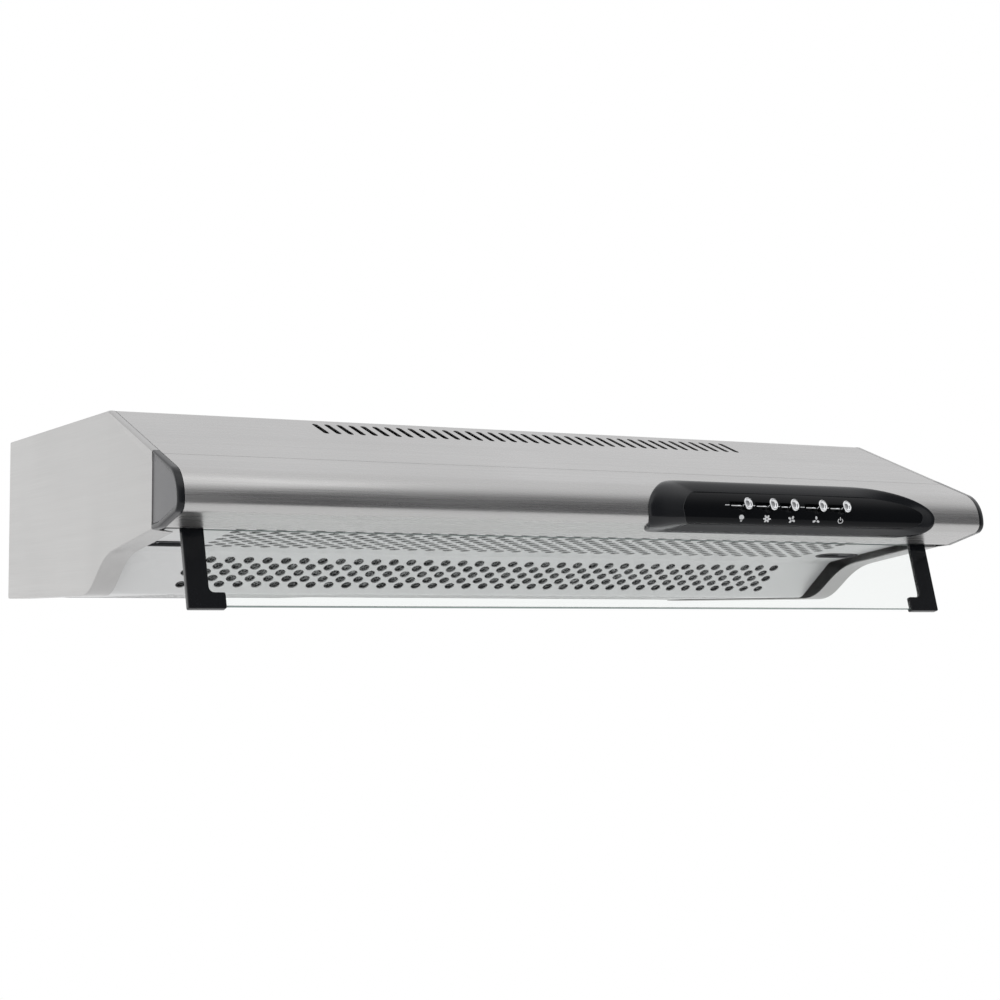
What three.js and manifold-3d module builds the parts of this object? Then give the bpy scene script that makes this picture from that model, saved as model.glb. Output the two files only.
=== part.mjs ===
// Under cabinet range hood: a slim steel hood with a rounded front, slider controls,
// a glass visor that folds under the front, and a perforated filter tray that swings down.
// Millimetres. X runs along the front, -Y points into the room, +Z is up.
// Outlines are written as (y, z): y from the wall, minus into the room, z up from the bottom rim.
import * as THREE from "three";
import { mergeVertices } from "three/addons/utils/BufferGeometryUtils.js";
import Module from "manifold-3d";

const wasm = await Module();
wasm.setup();

// ---- Driving dimensions ----
const WIDTH = 760;
const HEIGHT = 150;
const RIDGE_Y = -328; // where the flat top turns down into the slope
const SLOPE = 0.35; // fall of the slope for each millimetre forward
const SHEET = 1; // steel sheet
const GAP = 0.4; // between pieces that touch
const HALF = WIDTH / 2;

const NOSE_FRONT = -508; // foremost point of the rounded front
const NOSE_R = 28; // upper radius of the nose
const NOSE_LOW_R = 9; // lower radius of the nose
const NOSE_UNDER = 0.244; // fall of the nose's underside for each millimetre back
const NOSE_BACK = -462; // rear edge of the nose's underside
const SEAM_Y = -455; // seam between the slope and the front
const CAP_Y = -446; // rear edge of the end caps
const CAP_THICK = 5.2;
const RIM = 4; // width of the end cap's dark rim

const FLANGE = 20; // turned-in lower flange of a side panel
const FLANGE_FRONT = -440; // its front end, clear of the visor's hinge
const TOP_FLANGE = 5.2; // turned-in upper flange of a side panel

const SLOT_COUNT = 38;
const SLOT_PITCH = 11.1;
const SLOT_WIDTH = 5;
const SLOT_REAR = -340;
const SLOT_FRONT = -371;

const BEZEL = { left: 24, right: 322, low: 55, high: 95.5, proud: 2.6 };
const FACE = { left: 52, right: 314, low: 59.5, high: 91 };
const KNOB_X = [122, 148, 170, 199.5, 225.3];
const KNOB_NAMES = ["lamp", "high_speed", "medium_speed", "low_speed", "power"];
const KNOB_Z = 77;
const TRACK_X = [122, 148, 173.7, 199.5, 225.3]; // right-hand end of each knob's track
const TRACK_LENGTH = 19;

const FILTER_HALF = 358;
const FILTER_PATH = [[-433, 53], [-304, 36.6], [-256, 1.6], [-14, 1.6]];
const FILTER_HINGE = [-14, 7];
const MAT_THICK = 6;
const LATCH_X = 336;
const LATCH_Y = -345;

const VISOR_PIVOT = [-447, 52.5];
const VISOR_TILT = 16.9; // degrees that the visor leans forward
const VISOR_DROP = 68; // pivot to lower edge
const VISOR_HALF = 358;
const ARM_WIDTH = 17.6;
const ARM_THICK = 6;
const TOE = [30.6, 13]; // length and height of a bracket's foot
const GLASS_THICK = 4;
const GLASS_HALF = 350;

const BLOWER = { y: -165, small: 84, large: 124, low: 70, high: 144.5, wall: 1.5, mouth: -145 };
const BLOWER_SCREWS = [[-84, -165], [-4, -80], [60, -240], [110, -295]]; // (x, y)
const IMPELLER = { outer: 75, inner: 63, low: 76, high: 124, blades: 24 };
const OUTLET = { y: -92, r: 61 };

// ---- Finishes ----
const finish = (color, roughness, metalness) => ({ color, roughness, metalness });
const STEEL = finish(0xb9bab8, 0.32, 1);
const SIDE_STEEL = finish(0xc6c6c6, 0.4, 0.9);
const GALVANISED = finish(0x9a9d9f, 0.5, 0.9);
const CAP_GREY = finish(0x7d7d7e, 0.45, 0.4);
const GLOSS_BLACK = finish(0x0c0d10, 0.12, 0);
const SATIN_BLACK = finish(0x161719, 0.4, 0);
const CHROME = finish(0xe4e6e8, 0.08, 1);
const TRAY = finish(0xdcddda, 0.45, 0.6);
const FILTER_MESH = finish(0x9c9fa1, 0.4, 0.85);
const GLASS = finish(0xdfe9e6, 0.03, 0);
const WARM_WHITE = finish(0xf3efe2, 0.3, 0);
const NYLON = finish(0x8b8e91, 0.5, 0);

// ---- Solids ----
function toSolid(geometry) {
  const bare = geometry.index ? geometry.toNonIndexed() : geometry.clone();
  bare.deleteAttribute("normal");
  bare.deleteAttribute("uv");
  const merged = mergeVertices(bare, 1e-4);
  const vertProperties = new Float32Array(merged.attributes.position.array);
  const triVerts = new Uint32Array(merged.index.array);
  return new wasm.Manifold(new wasm.Mesh({ numProp: 3, vertProperties, triVerts }));
}

function toGeometry(solid) {
  const mesh = solid.getMesh();
  const geometry = new THREE.BufferGeometry();
  geometry.setAttribute("position", new THREE.BufferAttribute(mesh.vertProperties, 3));
  geometry.setIndex(new THREE.BufferAttribute(mesh.triVerts, 1));
  return geometry;
}

function join(...pieces) {
  return toGeometry(pieces.map(toSolid).reduce((all, piece) => all.add(piece)));
}

function cut(body, ...tools) {
  return toGeometry(tools.map(toSolid).reduce((left, tool) => left.subtract(tool), toSolid(body)));
}

function common(a, b) {
  return toGeometry(toSolid(a).intersect(toSolid(b)));
}

const X_AXIS = new THREE.Vector3(1, 0, 0);
const Y_AXIS = new THREE.Vector3(0, 1, 0);
const Z_AXIS = new THREE.Vector3(0, 0, 1);

function shapeOf(points) {
  return new THREE.Shape(points.map(([a, b]) => new THREE.Vector2(a, b)));
}

// An outline of (y, z) points carried along X.
function alongX(points, x0, x1) {
  const geometry = new THREE.ExtrudeGeometry(shapeOf(points), { depth: x1 - x0, bevelEnabled: false });
  geometry.applyMatrix4(new THREE.Matrix4().makeBasis(Y_AXIS, Z_AXIS, X_AXIS));
  return geometry.translate(x0, 0, 0);
}

// An outline of (x, z) points carried along Y, from y0 towards the room to y1.
function alongY(points, y0, y1) {
  const geometry = new THREE.ExtrudeGeometry(shapeOf(points), { depth: y0 - y1, bevelEnabled: false });
  geometry.applyMatrix4(new THREE.Matrix4().makeBasis(X_AXIS, Z_AXIS, new THREE.Vector3(0, -1, 0)));
  return geometry.translate(0, y0, 0);
}

// An outline of (x, y) points carried up Z.
function alongZ(points, z0, z1) {
  const geometry = new THREE.ExtrudeGeometry(shapeOf(points), { depth: z1 - z0, bevelEnabled: false });
  return geometry.translate(0, 0, z0);
}

function box(x0, x1, y0, y1, z0, z1) {
  return new THREE.BoxGeometry(x1 - x0, y1 - y0, z1 - z0)
    .translate((x0 + x1) / 2, (y0 + y1) / 2, (z0 + z1) / 2);
}

function rodX(radius, x0, x1, y, z, sides = 20) {
  return new THREE.CylinderGeometry(radius, radius, x1 - x0, sides)
    .rotateZ(Math.PI / 2).translate((x0 + x1) / 2, y, z);
}

function rodZ(radius, z0, z1, x, y, sides = 32) {
  return new THREE.CylinderGeometry(radius, radius, z1 - z0, sides)
    .rotateX(Math.PI / 2).translate(x, y, (z0 + z1) / 2);
}

// A profile of (radius, height) points turned about Z.
function turned(profile, x, y, sides = 32) {
  const points = profile.map(([r, h]) => new THREE.Vector2(r, h));
  return new THREE.LatheGeometry(points, sides).rotateX(Math.PI / 2).translate(x, y, 0);
}

// ---- Outlines ----
const degrees = (angle) => (angle * Math.PI) / 180;

function arc(y, z, radius, from, to, steps) {
  return Array.from({ length: steps + 1 }, (_, i) => {
    const a = from + ((to - from) * i) / steps;
    return [y + radius * Math.cos(a), z + radius * Math.sin(a)];
  });
}

// Each point of a chain moved sideways, to the left of its direction, by a mitred distance.
function shifted(points, distance, closed = false) {
  const n = points.length;
  return points.map((p, i) => {
    const before = closed || i > 0 ? points[(i - 1 + n) % n] : p;
    const after = closed || i < n - 1 ? points[(i + 1) % n] : p;
    const a = new THREE.Vector2(p[0] - before[0], p[1] - before[1]).normalize();
    const b = new THREE.Vector2(after[0] - p[0], after[1] - p[1]).normalize();
    const left = new THREE.Vector2(-(a.y + b.y), a.x + b.x).normalize();
    const side = a.lengthSq() > 0 ? a : b;
    const stretch = Math.max(0.3, left.x * -side.y + left.y * side.x);
    return [p[0] + (left.x * distance) / stretch, p[1] + (left.y * distance) / stretch];
  });
}

// The closed outline of a sheet that follows a chain, its thickness to the left of it.
function sheetOutline(points, thickness) {
  return [...points, ...shifted(points, thickness).reverse()];
}

const slopeZ = (y) => HEIGHT + SLOPE * (y - RIDGE_Y);
const slopeAngle = Math.atan(SLOPE);
const noseY = NOSE_FRONT + NOSE_R;
const noseZ = slopeZ(noseY) - NOSE_R / Math.cos(slopeAngle);

// The nose from a place on the slope round to the rear edge of its underside, moved outwards.
function noseOutline(startY, outwards) {
  const under = Math.PI * 1.5 - Math.atan(NOSE_UNDER);
  const lowY = NOSE_FRONT + NOSE_LOW_R;
  const upper = arc(noseY, noseZ, NOSE_R + outwards, Math.PI / 2 + slopeAngle, Math.PI, 10);
  const lower = arc(lowY, noseZ, NOSE_LOW_R + outwards, Math.PI, under, 6);
  const last = lower[lower.length - 1];
  const startZ = slopeZ(startY) + outwards / Math.cos(slopeAngle);
  const end = [NOSE_BACK, last[1] - (NOSE_BACK - last[0]) * NOSE_UNDER];
  return [[startY, startZ], ...upper, ...lower.slice(1), end];
}

const noseBackZ = noseOutline(SEAM_Y, 0).at(-1)[1];

// Lower edge of a side panel, from the end cap to the flat bottom.
function lowerEdge() {
  const curve = new THREE.CubicBezierCurve(
    new THREE.Vector2(-345, 35),
    new THREE.Vector2(-300, 29),
    new THREE.Vector2(-292, 0),
    new THREE.Vector2(-258, 0),
  );
  return [[CAP_Y + GAP, 47.9], ...curve.getPoints(12).map((p) => [p.x, p.y])];
}

// A closed outline drawn with curves, then grown outwards by a distance.
function curvedShape(draw, grow) {
  const shape = new THREE.Shape();
  draw(shape);
  const points = shape.getPoints(8).slice(0, -1).map((p) => [p.x, p.y]);
  return shifted(points, -grow, true);
}

function bezelOutline(grow = 0) {
  const { left: x0, right: x1, low: z0, high: z1 } = BEZEL;
  return curvedShape((s) => {
    s.moveTo(x0 + 10, z0);
    s.lineTo(x1 - 30, z0);
    s.quadraticCurveTo(x1, z0 + 1, x1, z0 + 14);
    s.bezierCurveTo(x1, z0 + 27, x1 - 42, z1, x1 - 82, z1);
    s.lineTo(x0 + 38, z1);
    s.bezierCurveTo(x0 + 16, z1, x0, z1 - 12, x0, z0 + 16);
    s.quadraticCurveTo(x0, z0, x0 + 10, z0);
  }, grow);
}

function faceOutline(shrink = 0) {
  const { left: x0, right: x1, low: z0, high: z1 } = FACE;
  return curvedShape((s) => {
    s.moveTo(x0 + 8, z0);
    s.lineTo(x1 - 24, z0);
    s.quadraticCurveTo(x1, z0 + 1, x1, z0 + 11);
    s.bezierCurveTo(x1, z0 + 21, x1 - 38, z1, x1 - 74, z1);
    s.lineTo(x0 + 14, z1);
    s.bezierCurveTo(x0 + 6, z1, x0, z1 - 6, x0, z1 - 14);
    s.quadraticCurveTo(x0, z0, x0 + 8, z0);
  }, -shrink);
}

// A slab that follows the nose between two distances from its surface.
function noseSlab(outer, inner, x0, x1) {
  const out = noseOutline(SEAM_Y, outer);
  const back = noseOutline(SEAM_Y, inner).reverse();
  return alongX([...out, ...back], x0, x1);
}

// ---- The scene graph ----
const hood = new THREE.Group();
hood.name = "under_cabinet_range_hood";
hood.position.set(0, -RIDGE_Y / 2, -HEIGHT); // the origin is the middle of the flat top

function place(name, geometry, look, parent = hood) {
  const mesh = new THREE.Mesh(geometry, new THREE.MeshStandardMaterial(look));
  mesh.name = name;
  parent.add(mesh);
  return mesh;
}

// ---- Shell ----
function topPanel() {
  const path = [[0, HEIGHT], [RIDGE_Y, HEIGHT], [SEAM_Y + GAP, slopeZ(SEAM_Y + GAP)]];
  const half = HALF - TOP_FLANGE - GAP;
  const sheet = alongX(sheetOutline(path, SHEET), -half, half);
  const first = (-SLOT_PITCH * (SLOT_COUNT - 1)) / 2;
  const slots = Array.from({ length: SLOT_COUNT }, (_, i) => {
    const x = first + i * SLOT_PITCH;
    return box(x - SLOT_WIDTH / 2, x + SLOT_WIDTH / 2, SLOT_FRONT, SLOT_REAR, 120, 160);
  });
  const outlet = rodZ(OUTLET.r, HEIGHT - 10, HEIGHT + 10, 0, OUTLET.y, 48);
  const glandHole = rodZ(9.4, HEIGHT - 10, HEIGHT + 10, -230, -60, 24);
  return cut(sheet, ...slots, outlet, glandHole);
}

function backPanel() {
  const half = HALF - SHEET - GAP;
  const top = HEIGHT - SHEET - GAP;
  const plate = box(-half, half, -SHEET, 0, SHEET + GAP, top);
  const lip = box(-half + 30, half - 30, -14, -SHEET / 2, top - SHEET, top);
  const keyholes = [-250, 250].flatMap((x) => [
    new THREE.CylinderGeometry(5.5, 5.5, 10, 20).translate(x, 0, 112),
    box(x - 2.6, x + 2.6, -5, 5, 112, 124),
  ]);
  return cut(join(plate, lip), ...keyholes);
}

function sidePanel(side) {
  const lower = lowerEdge();
  const front = CAP_Y + GAP;
  const upper = [[0, HEIGHT], [RIDGE_Y, HEIGHT], [front, slopeZ(front)]];
  const span = (a, b) => (side > 0 ? [a, b] : [-b, -a]);
  const plate = alongX([[0, 0], ...upper, ...lower], ...span(HALF - SHEET, HALF));
  const foot = [[FLANGE_FRONT, 47.2], ...lower.slice(1), [-SHEET - GAP, 0]];
  const flange = alongX(sheetOutline(foot, SHEET), ...span(HALF - FLANGE, HALF - SHEET / 2));
  const rim = alongX(sheetOutline(upper, SHEET), ...span(HALF - TOP_FLANGE, HALF - SHEET / 2));
  return join(plate, flange, rim);
}

function frontFascia() {
  const half = HALF - CAP_THICK - GAP;
  const outer = noseOutline(SEAM_Y, 0);
  const inner = noseOutline(SEAM_Y, -SHEET);
  const lipTop = noseBackZ + 10;
  const lipFront = NOSE_BACK - SHEET;
  inner[inner.length - 1] = [lipFront, inner.at(-1)[1] + SHEET * NOSE_UNDER];
  const lip = [[NOSE_BACK, lipTop], [lipFront, lipTop]];
  const sheet = alongX([...outer, ...lip, ...inner.reverse()], -half, half);
  return cut(sheet, alongY(bezelOutline(GAP), NOSE_BACK - 16, NOSE_FRONT - 20));
}

function endRim(side) {
  const tail = (depth) => [CAP_Y, 47.9 + depth];
  const outer = [...noseOutline(CAP_Y, 0), tail(0)];
  const inner = [...noseOutline(CAP_Y, -RIM), tail(RIM)];
  const [x0, x1] = side > 0 ? [HALF - CAP_THICK, HALF] : [-HALF, -HALF + CAP_THICK];
  return alongX([...outer, ...inner.reverse()], x0, x1);
}

function endPlate(side) {
  const outline = [...noseOutline(CAP_Y, -RIM - GAP), [CAP_Y, 47.9 + RIM + GAP]];
  const [x0, x1] = side > 0 ? [HALF - 3.4, HALF - 1] : [-HALF + 1, -HALF + 3.4];
  return alongX(outline, x0, x1);
}

function outletBlank() {
  const profile = [[0, 146.6], [52, 146.6], [55, 148.6], [60.5, 148.6], [60.5, HEIGHT], [57, HEIGHT],
    [53, 148.2], [0, 148.2]];
  return turned(profile, 0, OUTLET.y, 48);
}

// ---- Controls ----
function controlBezel() {
  const { left, right, proud } = BEZEL;
  const slab = noseSlab(proud, -5, left - 5, right + 5);
  const body = common(slab, alongY(bezelOutline(), NOSE_BACK - 16, NOSE_FRONT - 20));
  return cut(body, alongY(faceOutline(), NOSE_BACK, NOSE_FRONT - 20));
}

function controlFace() {
  const slab = noseSlab(-1.4, -4.4, FACE.left - 5, FACE.right + 5);
  const body = common(slab, alongY(faceOutline(GAP), NOSE_BACK - 16, NOSE_FRONT - 20));
  const tracks = TRACK_X.map((x) =>
    box(x - TRACK_LENGTH + 4, x + 4, NOSE_FRONT - 10, NOSE_FRONT + 22, KNOB_Z - 3.4, KNOB_Z + 2.2));
  return cut(body, ...tracks);
}

// The knobs' own frame: on the nose's surface at knob height, -Y straight out of it.
const knobTilt = Math.asin((KNOB_Z - noseZ) / NOSE_R);
function knobFrame(x) {
  const frame = new THREE.Group();
  frame.position.set(x, noseY - NOSE_R * Math.cos(knobTilt), KNOB_Z);
  frame.rotation.x = -knobTilt;
  hood.add(frame);
  return frame;
}

function knob() {
  const profile = [[0, -0.6], [3.6, -0.6], [4.4, 0.4], [5.2, 3.2], [4.6, 4.4], [3, 3.6], [0, 3.4]];
  const points = profile.map(([r, h]) => new THREE.Vector2(r, h));
  const cap = new THREE.LatheGeometry(points, 20).rotateX(Math.PI).scale(0.78, 1, 1);
  return join(cap, box(-1.5, 1.5, -1, 7, -1.4, 1.4));
}

function switchBlock() {
  const first = TRACK_X[0] - 26;
  const last = TRACK_X.at(-1) + 14;
  const body = box(first, last, 9, 24, -5, 11);
  const ears = box(first - 10, last + 10, 9, 11, -5, 7);
  return join(body, ears);
}

// ---- Blower ----
function scrollOutline() {
  const { y, small, large, mouth } = BLOWER;
  const steps = 36;
  const start = degrees(-60);
  const sweep = degrees(300);
  const spiral = Array.from({ length: steps + 1 }, (_, i) => {
    const t = i / steps;
    const radius = small + (large - small) * t;
    const angle = start - sweep * t;
    return [radius * Math.cos(angle), y + radius * Math.sin(angle)];
  });
  return [...spiral, [large, y + mouth], [small / 2, y + mouth]];
}

function blowerHousing() {
  const { y, low, high, wall, mouth } = BLOWER;
  const outline = scrollOutline();
  const inside = shifted(outline, -wall, true);
  const shell = cut(alongZ(outline, low, high), alongZ(inside, low - 5, high - wall));
  const opening = box(BLOWER.small / 2 + wall, BLOWER.large - wall, y + mouth - 5, y + mouth + 5,
    low + 6, high - 6);
  return cut(shell, opening);
}

function blowerBase() {
  const { y, low } = BLOWER;
  const plate = alongZ(scrollOutline(), low - 2, low - GAP);
  const holes = BLOWER_SCREWS.map(([sx, sy]) => rodZ(2.2, low - 10, low + 10, sx, sy, 12));
  return cut(plate, rodZ(66, low - 10, low + 10, 0, y, 48), ...holes);
}

function inletGuard() {
  const { y, low } = BLOWER;
  const top = low - 2 - GAP;
  const ring = (r) => cut(rodZ(r, top - 2, top, 0, y, 28), rodZ(r - 2.4, top - 5, top + 5, 0, y, 28));
  const spokes = [0, 60, 120].map((a) =>
    box(-70, 70, -1.2, 1.2, top - 2, top).rotateZ(degrees(a)).translate(0, y, 0));
  return join(ring(71), ring(48), ring(26), ...spokes);
}

function impeller() {
  const { outer, inner, low, high, blades } = IMPELLER;
  const ring = (z0, z1) => cut(rodZ(outer, z0, z1, 0, 0, 36), rodZ(inner, z0 - 5, z1 + 5, 0, 0, 36));
  const disc = cut(rodZ(outer, 86, 88, 0, 0, 36), rodZ(4.6, 80, 95, 0, 0, 20));
  const hub = cut(rodZ(12, 80, 92, 0, 0, 24), rodZ(4.6, 70, 100, 0, 0, 20));
  const vanes = Array.from({ length: blades }, (_, i) =>
    box(inner + 0.4, outer - 0.4, -0.7, 0.7, low + 1, high - 1).translate(-69, 0, 0)
      .rotateZ(degrees(32)).translate(69, 0, 0).rotateZ((i * 2 * Math.PI) / blades));
  return join(ring(low, low + 3), ring(high - 3, high), disc, hub, ...vanes)
    .translate(0, BLOWER.y, 0);
}

function motorBody() {
  const { y } = BLOWER;
  const profile = [[0, 98], [24, 98], [30, 101], [42, 103], [44, 106], [44, 132], [41, 136], [0, 136]];
  return cut(turned(profile, 0, y, 36), rodZ(4.6, 90, 130, 0, y, 20));
}

function motorBracket() {
  const { y, high, wall } = BLOWER;
  const top = high - wall - GAP;
  const plate = rodZ(34, 136 + GAP, top, 0, y, 36);
  const arms = [30, 150, 270].map((a) =>
    box(0, 62, -9, 9, top - 2, top).rotateZ(degrees(a)).translate(0, y, 0));
  return join(plate, ...arms);
}

// A pan-head screw that comes up through the blower's base plate.
function blowerScrew([x, y]) {
  const seat = BLOWER.low - 2 - GAP;
  const profile = [[0, seat - 2.6], [2.6, seat - 2.6], [4, seat - 1.4], [4, seat], [1.6, seat],
    [1.6, seat + 8], [0, seat + 9]];
  return turned(profile, x, y, 12);
}

// ---- Electrical ----
function terminalBox() {
  const shell = box(-345, -268, -80, -20, 112, HEIGHT - SHEET - GAP);
  return cut(shell, box(-343, -270, -78, -22, 105, HEIGHT - SHEET - GAP - 2));
}

function cordGland() {
  const top = HEIGHT - 0.2;
  const profile = [[6, 132], [8.6, 132], [8.6, 144.8], [12.5, 144.8], [12.5, 148.4], [9, 148.4],
    [9, top], [4.5, top], [4.5, 140], [6, 132]];
  return turned(profile, -230, -60, 24);
}

function lampHolder() {
  return join(rodX(15, 238, 262, -395, 88, 24), box(240, 260, -403, -387, 88, 118));
}

function lampBulb() {
  const profile = [[0, 0], [9, 0], [9, 16], [11, 22], [14, 34], [15, 46], [13, 60], [8, 70], [0, 74]];
  const points = profile.map(([r, h]) => new THREE.Vector2(r, h));
  return new THREE.LatheGeometry(points, 24).rotateZ(Math.PI / 2).translate(238 - GAP, -395, 88);
}

function lampReflector() {
  const path = [[-428, 84], [-420, 108], [-372, 112], [-362, 84]];
  return alongX(sheetOutline(path, -0.8), 150, 236);
}

// ---- Filter tray, latches ----
function filterGrille() {
  const sheet = alongX(sheetOutline(FILTER_PATH, SHEET), -FILTER_HALF, FILTER_HALF);
  const path = FILTER_PATH.map(([y, z], i) => (i === 3 ? [-24, z] : [y, z]));
  const skirt = sheetOutline(path, 9);
  const skirts = [[-FILTER_HALF, SHEET - FILTER_HALF], [FILTER_HALF - SHEET, FILTER_HALF]]
    .map(([x0, x1]) => alongX(skirt, x0, x1));
  const [y, z] = FILTER_HINGE;
  const knuckles = [-300, 300].map((x) => rodX(5, x - 12, x + 12, y, z));
  const bores = [-300, 300].map((x) => rodX(2.9, x - 20, x + 20, y, z));
  const cups = [-1, 1].map((s) =>
    box(s * LATCH_X - 20.8, s * LATCH_X + 20.8, LATCH_Y - 11.4, LATCH_Y + 10.6, 20, 47));
  const slots = [-1, 1].map((s) =>
    box(s * FILTER_HALF - 2, s * FILTER_HALF + 2, LATCH_Y - 6, LATCH_Y + 6, 43.8, 49));
  return cut(join(sheet, ...skirts, ...knuckles), ...bores, ...cups, ...slots);
}

function filterMat() {
  const lifted = shifted(FILTER_PATH, SHEET + GAP);
  const path = [[-420, lifted[0][1] - 1.7], lifted[1], lifted[2], [-30, lifted[3][1]]];
  const mat = alongX(sheetOutline(path, MAT_THICK), -FILTER_HALF + 8, FILTER_HALF - 8);
  const cups = [-1, 1].map((s) =>
    box(s * LATCH_X - 30, s * LATCH_X + 30, LATCH_Y - 16, LATCH_Y + 16, 20, 70));
  return cut(mat, ...cups);
}

function matClip() {
  const z = FILTER_PATH[3][1] + SHEET + 2 * GAP + MAT_THICK + 1.5;
  const rod = rodX(1.5, -348, 348, -140, z, 10);
  const feet = [-347, 347].map((x) => box(x - 1.5, x + 1.5, -141.5, -110, z - 1.5, z + 1.5));
  return join(rod, ...feet);
}

function hingeLeaf(x) {
  const [y, z] = FILTER_HINGE;
  const pin = rodX(2.5, x - 17, x + 17, y, z);
  const cheeks = [-1, 1].flatMap((s) => {
    const [x0, x1] = [x + s * 15.5 - 2, x + s * 15.5 + 2];
    return [rodX(4, x0, x1, y, z), box(x0, x1, y - 3, -SHEET - GAP, z + 1.2, z + 9)];
  });
  const plate = box(x - 17.5, x + 17.5, -SHEET - GAP - 1.5, -SHEET - GAP, z + 2, z + 24);
  return join(pin, ...cheeks, plate);
}

// The latches' own frame: on the tray's front slope, its Y axis running back down the slope.
function latchFrame(side) {
  const [front, bend] = FILTER_PATH;
  const fall = (bend[1] - front[1]) / (bend[0] - front[0]);
  const frame = new THREE.Group();
  frame.position.set(side * LATCH_X, LATCH_Y, front[1] + fall * (LATCH_Y - front[0]));
  frame.rotation.x = Math.atan(fall);
  hood.add(frame);
  return frame;
}

function latchCup(side) {
  const shell = cut(box(-20.4, 20.4, -10, 10, 0.2, 9), box(-19.2, 19.2, -8.5, 8.5, -5, 7.5));
  const lip = cut(box(-20.4, 20.4, -10, 10, 0.2, 1.2), box(-17.5, 17.5, -6.8, 6.8, -5, 5));
  const x = side * 20;
  return cut(join(shell, lip), box(x - 3, x + 3, -4.6, 4.6, 2.4, 6));
}

function latchSlide(side) {
  const span = (a, b) => (side > 0 ? [a, b] : [-b, -a]);
  const grip = box(...span(3, 18.6), -6, 6, 1.8, 7);
  const tongue = box(...span(18, 23.2), -4, 4, 2.8, 5.6);
  const ribs = [6, 10, 14].map((x) => box(...span(x - 0.8, x + 0.8), -6, 6, 0.6, 2.2));
  return join(grip, tongue, ...ribs);
}

// ---- Visor: its own frame is on the pivot, -Z down along the glass ----
function visorFrame() {
  const frame = new THREE.Group();
  frame.position.set(0, ...VISOR_PIVOT);
  frame.rotation.x = degrees(-VISOR_TILT);
  hood.add(frame);
  return frame;
}

function visorGlass(grow = 0) {
  const half = GLASS_THICK / 2 + grow;
  return box(-GLASS_HALF - grow, GLASS_HALF + grow, -half, half, -VISOR_DROP + 2 - grow, -4 + grow);
}

function visorBracket(side) {
  const inner = VISOR_HALF - ARM_WIDTH;
  const span = (a, b) => (side > 0 ? [a, b] : [-b, -a]);
  const half = ARM_THICK / 2;
  const arm = box(...span(inner, VISOR_HALF), -half, half, -VISOR_DROP, 0);
  const [toeLength, toeHeight] = TOE;
  const toe = box(...span(VISOR_HALF - toeLength, VISOR_HALF), -half, half, -VISOR_DROP, toeHeight - VISOR_DROP);
  const head = rodX(half, ...span(inner, VISOR_HALF), 0, 0, 20);
  const web = shapeOf([[0, 0], [7, 0], [2, 2], [0, 7]]);
  const fillet = new THREE.ExtrudeGeometry(web, { depth: ARM_THICK, bevelEnabled: false })
    .rotateX(Math.PI / 2).translate(0, half, 0);
  const turnedFillet = side > 0 ? fillet.rotateY(Math.PI).translate(inner + 0.1, 0, 0)
    : fillet.translate(-inner - 0.1, 0, 0);
  turnedFillet.translate(0, 0, toeHeight - VISOR_DROP - 0.1);
  const bore = rodX(2.1, ...span(inner - 5, VISOR_HALF + 5), 0, 0, 16);
  return cut(join(arm, toe, head), visorGlass(GAP), bore);
}

function visorPin(side) {
  const [x0, x1] = side > 0 ? [343, 368] : [-368, -343];
  return rodX(1.8, x0, x1, 0, 0, 16);
}

function visorHinge(side) {
  const [y, z] = VISOR_PIVOT;
  const [x0, x1] = side > 0 ? [VISOR_HALF + 0.8, 372] : [-372, -VISOR_HALF - 0.8];
  const block = box(x0, x1, y - 5, y + 5, z - 3.4, z + 6);
  return cut(block, rodX(2.2, x0 - 5, x1 + 5, y, z, 16));
}

function frontRail() {
  const z = VISOR_PIVOT[1] + 6 + GAP;
  return join(box(-374, 374, -456, -436, z, z + 1.2), box(-374, 374, -456, -454.8, z, z + 12));
}

// ---- Assembly ----
place("top_panel", topPanel(), STEEL);
place("back_panel", backPanel(), GALVANISED);
place("front_fascia", frontFascia(), STEEL);
place("outlet_blank", outletBlank(), GALVANISED);
place("control_bezel", controlBezel(), GLOSS_BLACK);
place("control_face", controlFace(), GLOSS_BLACK);
place("switch_block", switchBlock(), SATIN_BLACK, knobFrame(0));
place("front_rail", frontRail(), GALVANISED);
for (const [side, word] of [[-1, "left"], [1, "right"]]) {
  place(`${word}_side_panel`, sidePanel(side), SIDE_STEEL);
  place(`${word}_end_rim`, endRim(side), GLOSS_BLACK);
  place(`${word}_end_plate`, endPlate(side), CAP_GREY);
  place(`${word}_visor_hinge`, visorHinge(side), SATIN_BLACK);
  place(`${word}_filter_hinge`, hingeLeaf(side * 300), GALVANISED);
}
KNOB_X.forEach((x, i) => place(`${KNOB_NAMES[i]}_knob`, knob(), CHROME, knobFrame(x)));

place("blower_housing", blowerHousing(), GALVANISED);
place("blower_base", blowerBase(), GALVANISED);
place("inlet_guard", inletGuard(), SATIN_BLACK);
place("impeller", impeller(), NYLON);
place("motor_shaft", rodZ(4, 78, 126, 0, BLOWER.y, 20), CHROME);
place("motor_body", motorBody(), GALVANISED);
place("motor_bracket", motorBracket(), GALVANISED);
BLOWER_SCREWS.forEach((at, i) => place(`blower_screw_${i + 1}`, blowerScrew(at), CHROME));

place("terminal_box", terminalBox(), SATIN_BLACK);
place("capacitor", rodX(13, -250, -200, -100, 128, 24), CAP_GREY);
place("cord_gland", cordGland(), SATIN_BLACK);
place("lamp_holder", lampHolder(), WARM_WHITE);
place("lamp_bulb", lampBulb(), WARM_WHITE);
place("lamp_reflector", lampReflector(), TRAY);

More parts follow.
